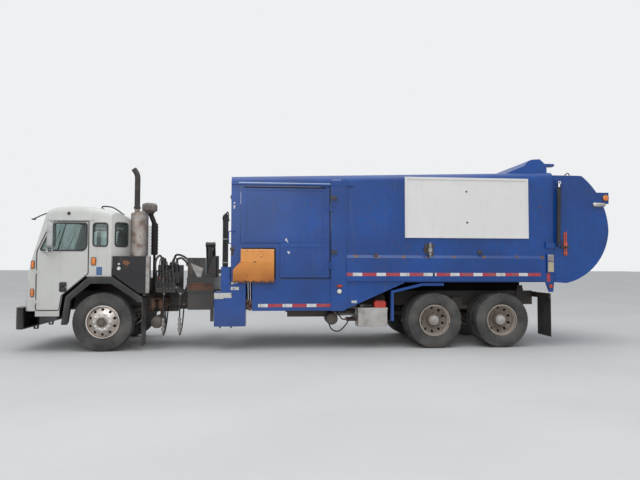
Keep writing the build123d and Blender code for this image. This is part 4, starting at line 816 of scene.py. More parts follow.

# %% [markdown]
# ## Lamps
# A lamp is a dark rubber base with a coloured lens that swells out of it. The lens is a grid over a
# rounded rectangle: every ring of it is a smaller copy, lifted along a quarter of an ellipse.
# %% Lens finishes


# Every lens glows faintly, a painted glow: no lamp on the truck is lit, and reflectors and the battery box's
# plugs share these finishes.
def lens_finish(name, colour, painted_glow):
    r = Recipe(name)
    ribs = r.add("TexWave", {"bands_direction": "Z"}, Vector=r.place, Scale=60.0).outputs[1]
    dusty = r.window(r.noise(9, 5), 0.45, 0.8, 0.0, 0.35)
    base = r.blend(dusty, colour, DUST)
    return r.end(base, r.window(dusty, 0, 0.35, 0.16, 0.6), r.relief(ribs, 0.0008), Coat_Weight=0.5,
                 Emission_Color=(*colour, 1), Emission_Strength=painted_glow)


finishes["amber_lens"] = lens_finish("amber_lens", (0.75, 0.2, 0.02), 0.12)
finishes["red_lens"] = lens_finish("red_lens", (0.45, 0.012, 0.012), 0.1)
finishes["clear_lens"] = lens_finish("clear_lens", (0.72, 0.72, 0.7), 0.05)
print("finishes", len(finishes))

# %% Lamps


def dome(origin, axis, toward, width, height, radius, rise, rings=6):
    """A closed lens: rings of a rounded rectangle that shrink by cos while they rise by sin."""
    rim = rounded(width, height, radius)
    t = np.linspace(0, math.pi / 2, rings)[:, None]
    flat = np.concatenate([rim[None] * 0, rim[None], rim[None, :, :] * np.cos(t)[:, :, None] ** 0.6])
    lift = rise * np.sin(t) * np.ones(len(rim))[None, :]
    grid = np.zeros((*flat.shape[:2], 3)) + np.array(origin, float)
    grid[..., ACROSS[axis]] += flat
    grid[..., "xyz".index(axis)] += toward * np.concatenate([0 * lift[:2], lift])
    return lattice(grid, around=True)


def lamp(name, origin, axis, toward, width, height, radius, lens, body, rise=0.018, lean=0.0):
    """A rubber base plate 12 mm thick and the lens on it, both leaning about Y; origin holds a station."""
    origin = (at(origin[0]), *origin[1:])
    k = "xyz".index(axis)
    outline = rounded(width + 0.02, height + 0.02, radius + 0.008, [origin[a] for a in ACROSS[axis]])
    base = prism(outline, axis, origin[k] - toward * 0.004, origin[k] + toward * 0.012)
    piece(name + "_base", [turned(base, "y", lean, origin)], "black_rubber", body)
    seat = list(origin)
    seat[k] += toward * 0.011
    swell = dome(seat, axis, toward, width, height, radius, rise)
    piece(name + "_lens", [turned(swell, "y", lean, origin)], lens, body, corner=50)


POST = 1.225                    # half the width over the body's corner posts
# station, distance from the middle, height; width, height and corner radius; lens, body and rise
SIDE_LAMPS = {
    "corner_marker_high": (-1.215, CAB, 1.56, 0.045, 0.13, 0.015, "amber_lens", TRUCK, 0.018),
    "corner_marker_low": (-1.215, CAB, 1.06, 0.045, 0.13, 0.015, "amber_lens", TRUCK, 0.018),
    "cab_side_signal": (-0.165, CAB, 1.625, 0.07, 0.13, 0.02, "amber_lens", TRUCK, 0.018),
    "post_marker": (4.303, POST, 1.178, 0.095, 0.04, 0.01, "red_lens", BODY, 0.018),
    "post_reflector": (4.297, POST, 1.079, 0.085, 0.085, 0.042, "clear_lens", BODY, 0.008),
}
for name, side in sides:
    for part, (s, y, z, *form) in SIDE_LAMPS.items():
        lamp(f"{part}_{name}", (s, side * y, z), "y", side, *form)
tell("lamps")

# %% [markdown]
# ## Reflective tape
# The tape that a truck must carry alternates 11 inches of red with 7 of white. It is real tape here, one
# thin strip per colour, laid 1 mm proud of the rail.
# %% Reflective tape
RED_RUN, WHITE_RUN, TAPE_WIDE, TAPE_THICK = 0.272, 0.178, 0.06, 0.0012


def tape_finish(name, colour):
    r = Recipe(name)
    cells = r.add("TexVoronoi", Vector=r.place, Scale=420.0).outputs[0]
    dirt = r.times(r.window(r.noise(6, 6), 0.42, 0.75), 0.6)
    base = r.blend(dirt, r.blend(r.times(cells, 0.3), colour, shade(colour, 1.5)), DUST)
    return r.end(base, r.window(dirt, 0, 0.5, 0.25, 0.7), r.relief(cells, 0.0002), Coat_Weight=0.3)


finishes["tape_red"] = tape_finish("tape_red", (0.42, 0.03, 0.05))
finishes["tape_white"] = tape_finish("tape_white", (0.66, 0.67, 0.68))


def tape(name, lengths, y, side, z):
    """Each length is (start, end, white first, how much the first run was cut short)."""
    runs = {True: [], False: []}
    ys = sorted((y, y + side * TAPE_THICK))
    for start, end, white, cut in lengths:
        place = start
        while place < end - 0.02:
            stop = min(place + (WHITE_RUN if white else RED_RUN) - cut, end)
            runs[white].append(box(at(place), at(stop), *ys, z - TAPE_WIDE / 2, z + TAPE_WIDE / 2))
            place, white, cut = stop, not white, 0
    piece(f"{name}_white", runs[True], "tape_white", BODY)
    piece(f"{name}_red", runs[False], "tape_red", BODY)


for name, side in sides:
    belt = [(4.431, 6.092, False, 0.156), (6.114, 8.21, True, 0.145)]
    tape(f"belt_tape_{name}", belt, side * 1.245, side, 1.396)
    tape(f"skirt_tape_{name}", [(2.79, 4.135, True, 0)], side * SIDE, side, 0.818)
tell("reflective tape")

# %% [markdown]
# ## Seals round the cab's windows
# Each pane sits in a black rubber seal that rounds off the corners of its opening. The seal is a flat
# section carried along the opening's outline, whose corners are first replaced by short curves.
# %% Side window seals
DOOR_WINDOW = ((-1.1, 1.82), (-0.34, 1.82), (-0.292, 1.9), (-0.292, 2.312), (-0.868, 2.312))
QUARTER = ((-0.18, 1.9), (0.07, 1.9), (0.07, 2.315), (-0.18, 2.315))


def eased(points, radius, steps=5):
    """The closed outline with each corner replaced by a quadratic curve that starts radius before it."""
    p = np.array(points, float)
    before, after = np.roll(p, 1, 0) - p, np.roll(p, -1, 0) - p
    a = p + before / np.linalg.norm(before, axis=1)[:, None] * radius
    b = p + after / np.linalg.norm(after, axis=1)[:, None] * radius
    t = np.linspace(0, 1, steps)[None, :, None]
    curve = (1 - t) ** 2 * a[:, None] + 2 * t * (1 - t) * p[:, None] + t ** 2 * b[:, None]
    return curve.reshape(-1, 3)


def seal(corners, normal, radius, wide=0.03, thick=0.016):
    """A flat rubber section carried round a window; normal is the direction that the pane faces."""
    section = rounded(thick, wide, thick * 0.4, steps=3)
    return carried(section, eased(corners, radius), closed=True, normal=normal)


for name, side in sides:
    y = side * (CAB + 0.001)
    for part, outline, body, ease in (("door", DOOR_WINDOW, f"cab_door_{name}", 0.045),
                                      ("quarter", QUARTER, TRUCK, 0.055)):
        corners = path(*((s, y, z) for s, z in outline))
        piece(f"{part}_window_seal_{name}", [seal(corners, (0, side, 0), ease)], "black_rubber", body)
    cut_x, cut_y = at(0.42) - 0.14, side * (CAB - 0.14)
    slope = math.sqrt(0.5)
    run = (0.28 * math.sqrt(2) - 0.15) / 2 * slope
    corners = [(cut_x + d * run + 0.001, cut_y - side * d * run + side * 0.001, z)
               for d, z in ((-1, 1.9), (1, 1.9), (1, 2.33), (-1, 2.33))]
    rim = seal(corners, (slope, side * slope, 0), 0.05)
    piece(f"corner_window_seal_{name}", [rim], "black_rubber", TRUCK)
tell("side window seals")

# %% Windscreen and rear window seals
SCREEN_LOW, SCREEN_TOP = np.array((-1.29, 1.61)), np.array((-1.02, 2.55))
tall = float(np.linalg.norm(SCREEN_TOP - SCREEN_LOW))
along = (SCREEN_TOP - SCREEN_LOW) / tall
screen_out = (-along[1], 0, along[0])


def on_screen(y, distance, lift=0.0):
    """A point on the sloping front: that far up from its lower edge, and lifted off it."""
    s, z = SCREEN_LOW + along * distance + np.array((screen_out[0], screen_out[2])) * lift
    return (at(s), y, z)


edge, low_edge, high_edge = 0.96, 0.09, tall - 0.12
corners = [on_screen(-edge, low_edge), on_screen(edge, low_edge), on_screen(edge, high_edge),
           on_screen(-edge, high_edge)]
divider = tube([on_screen(0, 0.1, 0.002), on_screen(0, tall - 0.13, 0.002)], 0.014, 8)
piece("windscreen_seal", [seal(corners, screen_out, 0.07, 0.036, 0.02), divider], "black_rubber", TRUCK)
rear = [(at(0.422), y, z) for y, z in ((-0.48, 1.85), (0.48, 1.85), (0.48, 2.3), (-0.48, 2.3))]
piece("rear_window_seal", [seal(rear, (1, 0, 0), 0.06)], "black_rubber", TRUCK)
tell("windscreen and rear window seals")

# %% [markdown]
# ## Wipers
# Two arms rest on the glass, each a tapered bar from its spindle to the middle of a long blade.
# %% Wipers
REACH = 0.34                    # from a spindle to the middle of its blade, across the truck
blades = []
for y in (-0.55, 0.3):
    arm = [on_screen(y, 0.05, 0.02), on_screen(y + REACH * 0.5, 0.2, 0.034), on_screen(y + REACH, 0.36, 0.03)]
    blade = [on_screen(y + REACH - 0.05, 0.12, 0.014), on_screen(y + REACH + 0.05, 0.66, 0.014)]
    spindle = [on_screen(y, 0.05), on_screen(y, 0.05, 0.034)]
    blades += [tube(arm, 0.006, 8), tube(blade, 0.008, 8), tube(spindle, 0.018, 12)]
piece("wipers", blades, "dark_plastic", TRUCK)
tell("wipers")

# %% [markdown]
# ## Fittings of the cab
# Round-cornered plates, turned discs and bent bars make up door handles, mirrors' glass, headlamps and
# what is bolted to the roof. A plate is a rounded rectangle carried a few millimetres off its wall.
# %% Plates and pipes


def plate(s0, s1, z0, z1, y, thick=0.004, radius=0.01, side=-1):
    """A thin sheet with round corners on a side wall."""
    flat = rounded(s1 - s0, z1 - z0, radius, (at((s0 + s1) / 2), (z0 + z1) / 2))
    return prism(flat, "y", y - side * 0.001, y + side * thick)


def sticker(s0, s1, z0, z1, y=-SIDE, side=-1):
    """A label or strip 1.2 mm thick."""
    return plate(s0, s1, z0, z1, y, 0.0012, 0.004, side)


def plumbing(name, runs, body, radius=0.012):
    """Each run of points becomes a smooth pipe, with a hexagon nut on both of its fixed ends."""
    pipes, nuts = [], []
    for run in runs:
        line = smooth(path(*run), 5)
        pipes.append(tube(line, radius, 9))
        for end, inward in ((line[0], line[1]), (line[-1], line[-2])):
            step = (inward - end) / np.linalg.norm(inward - end)
            nuts.append(tube([end - step * 0.004, end + step * 0.028], radius * 1.75, 6))
    piece(name + "_pipes", pipes, "black_rubber", body, corner=60)
    piece(name + "_nuts", nuts, "galvanised", body, corner=30)


# %% Doors, mirrors and headlamps
DOOR_EDGE = ((-1.15, 0.749), (-0.754, 0.749), (-0.719, 1.009), (-0.261, 1.404), (-0.261, 2.343),
             (-0.899, 2.343), (-1.151, 1.803))
HEADLAMPS = (0.835, 0.975)      # how far each lamp is from the middle
BEZEL = [(0.055, 0), (0.056, 0.008), (0.063, 0.006), (0.068, -0.012)]
for name, side in sides:
    door, y = f"cab_door_{name}", side * CAB
    raised = y + side * 0.009
    handle = [plate(-0.753, -0.625, 1.075, 1.25, y, 0.01, 0.025, side)]
    handle += [dome((at(-0.689), raised, z), "y", side, 0.09, 0.065, 0.02, 0.016) for z in (1.12, 1.203)]
    piece(f"door_handle_{name}", handle, "dark_plastic", door)
    lock = [(0, 0.006), (0.008, 0.006), (0.01, 0.003), (0.01, 0)]
    piece(f"door_lock_{name}", [lathe((at(-0.64), raised, 1.163), lock, toward=side)], "rod_chrome", door)
    # A black strip on the door's face along its edge: the rubber seal and painted shade of the gap round the
    # door.
    corners = eased(path(*((s, y, z) for s, z in DOOR_EDGE)), 0.03)
    edge = carried(rounded(0.006, 0.015, 0.002, steps=2), corners, closed=True, normal=(0, side, 0))
    piece(f"door_edge_seal_{name}", [edge], "black_rubber", door)
    pane = prism(rounded(0.16, 0.39, 0.035, (side * 1.425, 2.085)), "x", at(-0.7705), at(-0.7675))
    bowl = dome((at(-0.879), side * 1.38, 1.795), "x", 1, 0.15, 0.15, 0.0745, 0.016)
    piece(f"mirror_glass_{name}", [pane, bowl], "mirror_glass", door)
    places = path(*((-1.389, side * y, 0.935) for y in HEADLAMPS))
    bezels = [lathe(place, BEZEL, 40, "x") for place in places]
    piece(f"headlamp_bezels_{name}", bezels, "rod_chrome", TRUCK)
    lenses = [dome(place, "x", -1, 0.112, 0.112, 0.0555, 0.014) for place in places]
    piece(f"headlamp_lenses_{name}", lenses, "clear_lens", TRUCK)
    spot = (-1.36, side * 0.905, 1.075)
    lamp(f"front_signal_{name}", spot, "x", -1, 0.2, 0.055, 0.015, "amber_lens", TRUCK)
tell("doors, mirrors and headlamps")

# %% Grille and roof
for k, y in enumerate((-0.8, -0.17, 0, 0.17, 0.8)):
    lamp(f"roof_marker_{k}", (-0.87, y, 2.597), "z", 1, 0.09, 0.045, 0.018, "amber_lens", TRUCK, 0.02, -0.25)
wire = box(0, 0.0025, -0.0015, 0.0015, 0, 0.455)
wires = [moved(wire, (at(-1.3395), y, 0.867)) for y in np.arange(-0.51, 0.52, 0.02)]
back = box(at(-1.3375), at(-1.3355), -0.515, 0.515, 0.865, 1.325)
piece("grille_screen", [back, *wires], "dash_plastic", TRUCK)
bar = bent([(-0.1, -0.9, 2.59), (-0.105, -0.9, 2.645), (0.06, -0.9, 2.635), (0.172, -0.9, 2.575),
            (0.25, -0.9, 2.515), (0.262, -0.9, 2.49)], 0.013)
arm = bent([(-1.0, -0.9, 2.51), (-1.09, -0.9, 2.51), (-1.2, -0.9, 2.468), (-1.335, -0.9, 2.4)], 0.011)
feet = each(lathe, ((-0.1, -0.9, 2.597), (0.255, -0.9, 2.508), (-1.0, -0.9, 2.54)),
            [(0, 0.012), (0.03, 0.01), (0.036, 0), (0.036, -0.02)], 16, "z", 1)
cone = [(0, 0.02), (0.03, 0.016), (0.045, 0), (0.03, -0.008), (0, -0.01)]
tip = lathe((at(-1.33), -0.9, 2.402), cone, 20, "z")
piece("roof_bars", [bar, arm, tip, *feet], "dark_plastic", TRUCK, corner=50)
base = lathe((at(-0.613), -CAB, 2.487), [(0, 0.01), (0.026, 0.009), (0.032, 0), (0.032, -0.004)], 8)
knobs = [bolt((at(-0.613) + x, -CAB - 0.008, 2.487 + z), 0.007, 0.012)
         for x, z in ((0.018, 0), (-0.018, 0), (0, 0.018), (0, -0.018))]
piece("roof_side_base", [base, *knobs], "dark_plastic", TRUCK)
piece("cab_label", [plate(-0.117, -0.013, 1.375, 1.525, -CAB, 0.001)], "label_blue", TRUCK)
tell("grille and roof")

# %% [markdown]
# ## Seats
# A cushion is a superellipsoid: a sphere's two angles, but each cosine and sine is raised to a power
# below one, which squares the ball off while its faces still swell. The two cushions of a seat are
# seat cloth, and its pedestal is a box with rounded corners.
# %% Seat cushions


def cushion(centre, size, lean=0.0, power=0.36, rows=24, columns=36):
    """A superellipsoid of that size, leaning about Y."""
    def squared(value):
        return np.sign(value) * np.abs(value) ** power

    u = np.linspace(-math.pi / 2, math.pi / 2, rows)[:, None]
    v = np.linspace(0, 2 * math.pi, columns, endpoint=False)[None, :]
    girth = squared(np.cos(u))
    ball = [girth * squared(np.cos(v)), girth * squared(np.sin(v)), squared(np.sin(u)) + 0 * v]
    grid = np.stack(ball, -1) * np.array(size) / 2 + np.array(centre)
    return turned(lattice(grid, around=True), "y", lean, np.array(centre))


for name, side in sides:
    y = side * 0.71
    replaced = ("seats",) if name == "left" else ()
    parts = [prism(rounded(0.42, 0.29, 0.04, (at(-0.015), y)), "z", 1.398, 1.49),
             prism(rounded(0.5, 0.37, 0.04, (at(-0.05), y)), "z", 1.478, 1.5)]
    piece(f"seat_base_{name}", parts, "dark_plastic", TRUCK, replaced, bevel=0.004)
    seat = cushion((at(-0.055), y, 1.545), (0.54, 0.41, 0.11))
    back = cushion((at(0.2), y, 1.88), (0.12, 0.41, 0.64), 0.085)
    for part, shape in (("cushion", seat), ("back", back)):
        piece(f"seat_{part}_{name}", [shape], "seat_cloth", TRUCK, corner=80)
tell("seat cushions")

# %% [markdown]
# ## Behind the cab
# A fluted steel shield wraps the muffler, pressure hoses loop between the valves, the oil tank and the
# arm, and brackets, valves and a small air tank hang under them. Every pipe starts and ends in a nut.
# %% Fender flares and exhaust stack
flare = [(-0.69, 0.49), (-0.62, 0.99), (-0.23, 1.34), (0.17, 1.34), (0.69, 0.97), (0.69, 0.89), (0.61, 0.89),
         (0.59, 0.93), (0.15, 1.225), (-0.2, 1.225), (-0.545, 0.93), (-0.59, 0.49)]
for name, side in sides:
    outline = [(at(s), z) for s, z in flare]
    patch = prism(outline, "y", *sorted((side * 1.199, side * 1.2135)))
    piece(f"fender_flare_{name}", [patch], "dark_plastic", TRUCK, corner=30)
STACK = (0.545, -1.0)           # station and y of the upright pipe
bow = np.radians(np.linspace(0, 35, 9))
curve = [(0.325 + 0.22 * math.cos(b), -1.0, 3.17 + 0.22 * math.sin(b)) for b in bow]
last = (curve[-1][0] - 0.055 * math.sin(bow[-1]), -1.0, curve[-1][2] + 0.055 * math.cos(bow[-1]))
sleeve = tube(path((*STACK, 2.61), (*STACK, 2.9), *curve, last), 0.05, 24)
ring = tube(path((*STACK, 2.6), (*STACK, 2.635)), 0.062, 24)
piece("stack_sleeve", [sleeve, ring], "stack_black", TRUCK, corner=50)
tell("fender flares and exhaust stack")

# %% Muffler shield


def wrap(radius, thick, reach, centre, z0, z1, flutes=0, depth=0.0, steps=121):
    """A band around part of an upright drum, its radius waving with the flutes."""
    a = np.linspace(-reach, reach, steps)
    outer = radius + thick + depth * np.cos(flutes * a)
    ring = np.concatenate([np.stack([centre[0] + r * np.sin(b), centre[1] - r * np.cos(b)], 1)
                           for r, b in ((outer, a), (0 * a + radius, a[::-1]))])
    return prism(ring, "z", z0, z1)


drum = (at(0.595), -1.0)
shield = wrap(0.1505, 0.004, 2.05, drum, 1.735, 2.505, 44, 0.0014, 353)
piece("muffler_shield", [shield], "exhaust_steel", TRUCK, corner=50)
BANDS = (1.8, 2.42)
bands = [wrap(0.1562, 0.003, 2.0, drum, z, z + 0.03, steps=61) for z in BANDS]
bands += [bolt((drum[0] + x, drum[1] - 0.158, z + 0.015), 0.009, 0.012) for z in BANDS for x in (-0.02, 0.02)]
piece("muffler_bands", bands, "galvanised", TRUCK, corner=40)
tell("muffler shield")

# %% Battery box
wall = -1.19
trim = [plate(0.17, 0.755, 1.695, 1.715, wall, 0.006, 0.004), plate(0.47, 0.5, 1.2, 1.69, wall, 0.003, 0.004)]
trim += each(bolt, [(s, wall - 0.005, 1.705) for s in np.arange(0.2, 0.75, 0.09)], 0.007, 0.006)
piece("battery_box_trim", trim, "battery_box", TRUCK, corner=30)
plugs = [lathe((at(0.281), wall, z), [(0, 0.014), (r * 0.8, 0.012), (r, 0.006), (r, -0.002)], 20)
         for z, r in ((1.578, 0.02), (1.497, 0.032))]
piece("battery_box_plugs", plugs, "clear_lens", TRUCK)
angle = [(0.76, -1.197), (0.825, -1.197), (0.825, -1.191), (0.766, -1.191), (0.766, -1.13), (0.76, -1.13)]
post = [prism([(at(s), y) for s, y in angle], "z", 1.052, 1.722)]
post += each(bolt, [(0.795, -1.196, z) for z in (1.12, 1.38, 1.64)], 0.008)
piece("battery_box_post", post, "galvanised", TRUCK, corner=30)
tell("battery box")

# %% Hoses and valve levers
runs = []
for k in range(6):
    s, out, top = 0.93 + 0.058 * k, -1.0 - 0.022 * (k % 3), 1.42 + 0.07 * ((3 * k) % 4)
    y = -0.93 + 0.045 * k
    runs.append([(s, -0.962, 1.13), (s, out, 1.135), (s + 0.012, out - 0.02, 1.28), (s - 0.02, -0.98, top),
                 (s + 0.02, -0.84, top + 0.06), (s + 0.03, -0.69, 1.4 + 0.02 * k)])
    runs.append([(1.255, y, 1.15), (1.32, -0.95 + 0.045 * k, 1.02 + 0.02 * k), (1.4, y, 1.05),
                 (1.45, -0.88 + 0.04 * k, 1.18)])
plumbing("valve", runs, TRUCK, 0.011)
runs = [
    [(1.24, -0.76, 1.59), (1.26, -0.78, 1.67), (1.34, -0.8, 1.69), (1.42, -0.78, 1.62), (1.45, -0.75, 1.56)],
    [(0.96, -0.6, 1.66), (0.9, -0.68, 1.74), (0.86, -0.85, 1.6), (0.9, -0.92, 1.3), (0.93, -0.9, 1.23)],
    [(1.12, -0.42, 1.63), (1.2, -0.6, 1.75), (1.33, -0.7, 1.74), (1.45, -0.7, 1.66)]]
plumbing("return", runs, TRUCK, 0.02)
LEVERS = (0.95, 1.02, 1.09)
levers = [tube(path((s, -0.93, 1.2), (s, -0.955, 1.26), (s + 0.01, -0.965, 1.31)), 0.005, 8) for s in LEVERS]
piece("valve_levers", levers, "rod_chrome", TRUCK)
knobs = each(lathe, [(s + 0.01, -0.966, 1.31) for s in LEVERS],
             [(0, 0.03), (0.014, 0.024), (0.017, 0.01), (0.009, -0.004), (0, -0.005)], 12, "z", 1)
piece("valve_knobs", knobs, "red_paint", TRUCK, corner=50)
tell("hoses and valve levers")

# %% Air tanks


def small_tank(name, station, z, radius, y0, y1):
    """A drum with domed ends lying across the truck, with its hanger to the frame rail."""
    profile = [(0, y0), (radius * 0.6, y0 + 0.006), (radius * 0.93, y0 + 0.03), (radius, y0 + 0.06),
               (radius, y1 - 0.06), (radius * 0.93, y1 - 0.03), (0, y1)]
    band = [(radius, 0), (radius + 0.005, 0.001), (radius + 0.005, 0.034), (radius, 0.035)]
    drum = lathe((at(station), 0, z), profile, 32, toward=1)
    bands = each(lathe, ((station, y0 + 0.1, z), (station, y1 - 0.12, z)), band, 32, toward=1)
    x0, x1, top = at(station - 0.03), at(station + 0.03), z + radius * 0.8
    hanger, foot = box(x0, x1, y1 - 0.1, -0.42, top, top + 0.012), box(x0, x1, -0.442, -0.43, top, 0.85)
    piece(name, [drum, *bands, hanger, foot], "axle_iron", TRUCK, corner=40)


small_tank("air_tank_front", 0.92, 0.5, 0.11, -1.02, -0.5)
small_tank("air_tank_middle", 4.19, 0.545, 0.115, -1.0, -0.52)
tell("air tanks")

# %% Brake valves and low pipes
pot = [(0, 0), (0.02, 0), (0.024, 0.03), (0.045, 0.04), (0.052, 0.06), (0.052, 0.16), (0.04, 0.19),
       (0.04, 0.22), (0, 0.225)]
valves = each(lathe, ((0.83, -0.88, 0.715), (0.97, -0.84, 0.7), (1.02, -0.62, 0.72)), pot, 20, "z", 1)
valves.append(box(at(0.77), at(1.08), -0.92, -0.43, 0.925, 0.937))
valves.append(box(at(0.77), at(1.08), -0.442, -0.43, 0.82, 0.937))
valves += each(lathe, ((4.48, -0.82, 0.52), (4.56, -0.82, 0.52)),
               [(0, 0), (0.03, 0.004), (0.034, 0.02), (0.034, 0.1), (0, 0.104)], 16, "x", 1)
valves.append(box(at(4.46), at(4.665), -0.86, -0.79, 0.553, 0.565))
piece("brake_valves", valves, "rusty_iron", TRUCK, corner=40, bevel=0.002)
HANGING = (1.045, 1.343)        # stations of the two pipes that loop low under the arm
runs = [[(s, -0.94, 1.03), (s, -1.0, 0.9), (s, -1.0, 0.62), (s, -1.0, 0.34), (s, -0.93, 0.27),
         (s, -0.66, 0.42), (s, -0.44, 0.8)] for s in HANGING]
runs += [
    [(4.15, -0.57, 0.62), (4.18, -0.76, 0.36), (4.32, -0.88, 0.3), (4.46, -0.9, 0.42), (4.55, -0.9, 0.56),
     (4.66, -0.88, 0.6)],
    [(4.15, -0.55, 0.72), (4.3, -0.7, 0.66), (4.4, -0.78, 0.53), (4.48, -0.82, 0.52)],
    [(1.88, -0.86, 0.875), (1.97, -0.8, 0.88), (2.095, -0.71, 0.885)]]
plumbing("low", runs, TRUCK, 0.013)
fitting = [(0, 0), (0.022, 0), (0.022, 0.04), (0.034, 0.045), (0.034, 0.09), (0.02, 0.095), (0.02, 0.13),
           (0.036, 0.135), (0.036, 0.18), (0.024, 0.185), (0.024, 0.23), (0.032, 0.235), (0.032, 0.27),
           (0, 0.27)]
fittings = each(lathe, [(s, -1.0, 0.31) for s in HANGING], fitting, 6, "z", 1)
piece("pipe_fittings", fittings, "galvanised", TRUCK, corner=30)
tell("brake valves and low pipes")

# %% Loading arm and hose mast
flap = [(1.5, 1.6), (1.745, 1.5), (1.7, 1.335), (1.63, 1.335)]
parts = [prism([(at(s), z) for s, z in flap], "y", -0.806, -0.799)]
parts += each(bolt, ((1.54, -0.805, 1.57), (1.7, -0.805, 1.5), (1.66, -0.805, 1.36)), 0.009)
piece("arm_plate", parts, "galvanised", TRUCK, corner=30)
strip = [plate(1.46, 1.93, 1.09, 1.215, -0.9, 0.004, 0.005),
         plate(1.46, 1.93, 1.2, 1.225, -0.9, 0.012, 0.004)]
piece("arm_band", strip, "rusty_iron", TRUCK, corner=30)
runs = [[(s, -0.745, 0.95), (s, -0.745, 1.4), (s, -0.745, 1.9), (s, -0.746, 2.35),
         (s - 0.012, -0.752, 2.47 + 0.03 * k), (s + 0.02, -0.71, 2.53 + 0.025 * k),
         (2.196, -0.66 + 0.02 * k, 2.42)]
        for k, s in enumerate((2.112, 2.142, 2.172))]
plumbing("mast", runs, TRUCK, 0.012)
clips = []
for z in (1.15, 1.6, 2.05):
    clips.append(box(at(2.09), at(2.2), -0.762, -0.729, z, z + 0.022))
    clips.append(bolt((at(2.2), -0.7, z + 0.011), 0.008, axis="x", toward=1))
piece("mast_clips", clips, "galvanised", TRUCK, corner=30)
tell("loading arm and hose mast")

# %% Blue step box
flange = [(2.268, 1.06), (2.56, 1.06), (2.56, 1.243), (2.42, 1.243), (2.268, 1.2)]
lid = [prism([(at(s), z) for s, z in flange], "y", -1.222, -1.19),
       plate(1.985, 2.565, 0.915, 0.93, -1.22, radius=0.003)]
piece("step_box_panel", lid, "body_blue", TRUCK, corner=30, bevel=0.002)
labels = [sticker(1.99, 2.304, 0.962, 1.053, -1.22), sticker(1.99, 2.16, 0.944, 0.964, -1.22),
          sticker(2.29, 2.439, 1.108, 1.163, -1.222)]
piece("step_box_labels", labels, "label", TRUCK)
peg = [(0, 0.03), (0.014, 0.028), (0.016, 0), (0.03, 0), (0.03, -0.006)]
stud = lathe((at(2.3), -1.19, 0.44), peg, 12, "z")
piece("step_box_stud", [stud, moved(stud, (-0.2, 0, 0))], "dark_plastic", TRUCK)
tell("blue step box")

# %% [markdown]
# ## The refuse body
# Grab handle, lamps, latches, a drain valve and the two rods under the orange cover stand on the body's
# left wall. Rivets are turned domes, copied along each edge of the sign's rim.
# %% Hopper fittings
grab = bent([(2.292, -1.16, 1.962), (2.25, -1.165, 1.965), (2.244, -1.205, 2.0), (2.244, -1.218, 2.15),
             (2.262, -1.222, 2.187), (2.34, -1.222, 2.187), (2.362, -1.195, 2.187)], 0.009)
gusset = [(-1.19, 3.08), (-1.2265, 3.08), (-1.2265, 3.15), (-1.15, 3.238), (-1.12, 3.19)]
piece("body_grab_handle", [grab, prism(gusset, "x", at(4.15), at(4.33))], "body_blue", BODY, corner=40)
lamp("hopper_front_lamp", (2.285, -1.13, 2.83), "x", -1, 0.06, 0.06, 0.02, "clear_lens", BODY)
marks = [plate(2.325, 2.357, z0, z1, -SIDE, 0.001, 0.004) for z0, z1 in ((2.7, 2.725), (2.605, 2.668))]
piece("hopper_marks", marks, "tape_white", BODY)
knob = [(0, 0.03), (0.02, 0.03), (0.036, 0.02), (0.04, 0.006), (0.04, -0.003)]
latch = [lathe((at(2.308), -SIDE, 1.86), knob, 20),
         lathe((at(2.308), -SIDE, 1.79), [(0, 0.04), (0.014, 0.04), (0.018, 0.03), (0.018, -0.003)], 8),
         plate(2.29, 2.326, 1.74, 1.86, -SIDE, 0.008)]
piece("hopper_latch", latch, "axle_iron", BODY, corner=35)
tell("hopper fittings")

# %% Catches and hooks


def catch(name, s, z, y, reach=0.11):
    """A lug with a pin through it and a bent lever below."""
    lug = plate(s, s + reach, z - 0.02, z + 0.02, y, 0.022, 0.008)
    rod = [(0, 0), (0.012, 0), (0.012, 0.09), (0, 0.09)]
    pin = lathe((at(s + 0.02), y - 0.01, z - 0.045), rod, 12, "z", 1)
    lever = bent([(s + 0.02, y - 0.01, z - 0.03), (s + 0.03, y - 0.03, z - 0.05),
                  (s + 0.08, y - 0.028, z - 0.06), (s + 0.11, y - 0.012, z - 0.05)], 0.006, 4, 8)
    head = bolt((at(s + reach - 0.025), y - 0.021, z), 0.01, 0.01)
    piece(name, [lug, pin, lever, head], "axle_iron", BODY, corner=35)


catch("hatch_catch_high", 4.142, 2.83, -1.225)
catch("hatch_catch_low", 4.142, 1.815, -1.225)
catch("wall_catch", 6.97, 1.825, -SIDE, 0.09)
catch("belt_hook", 4.95, 1.742, -1.214, 0.07)
tell("catches and hooks")

# %% Orange cover and the rods under it
ragged = []
for k in range(15):
    s, low_z, high_z = 2.33 + 0.05 * k, 1.236 + 0.012 * ((k * 7) % 4) / 3, 1.262 + 0.01 * ((k * 5) % 3)
    ragged.append(box(at(s), at(s + 0.05), -1.288, -1.27, low_z, high_z))
piece("cover_rusty_edge", ragged, "rusty_iron", BODY, corner=30)
heads = ((2.52, -1.285, 1.3), (3.03, -1.285, 1.3), (3.03, -1.285, 1.58), (2.5, -1.285, 1.58))
piece("cover_bolts", each(bolt, heads, 0.01, 0.007), "orange", BODY)
rods = [tube(path((s, -1.16, 1.252), (s + 0.01, -1.16, 0.9)), 0.01, 12) for s in (2.6, 2.642)]
piece("under_rods", rods, "rod_chrome", BODY)
clamp = [lathe((at(s), -1.165, z), [(0, 0.04), (0.018, 0.04), (r, 0.028), (r, -0.03), (0, -0.034)], 10)
         for s, z, r in ((2.59, 0.9, 0.035), (2.65, 0.86, 0.04), (2.6, 0.81, 0.032), (2.64, 0.76, 0.036))]
clamp.append(box(at(2.57), at(2.682), -1.165, -1.145, 0.74, 0.93))
piece("under_clamps", clamp, "rusty_iron", BODY, corner=35, bevel=0.003)
tell("orange cover and the rods under it")
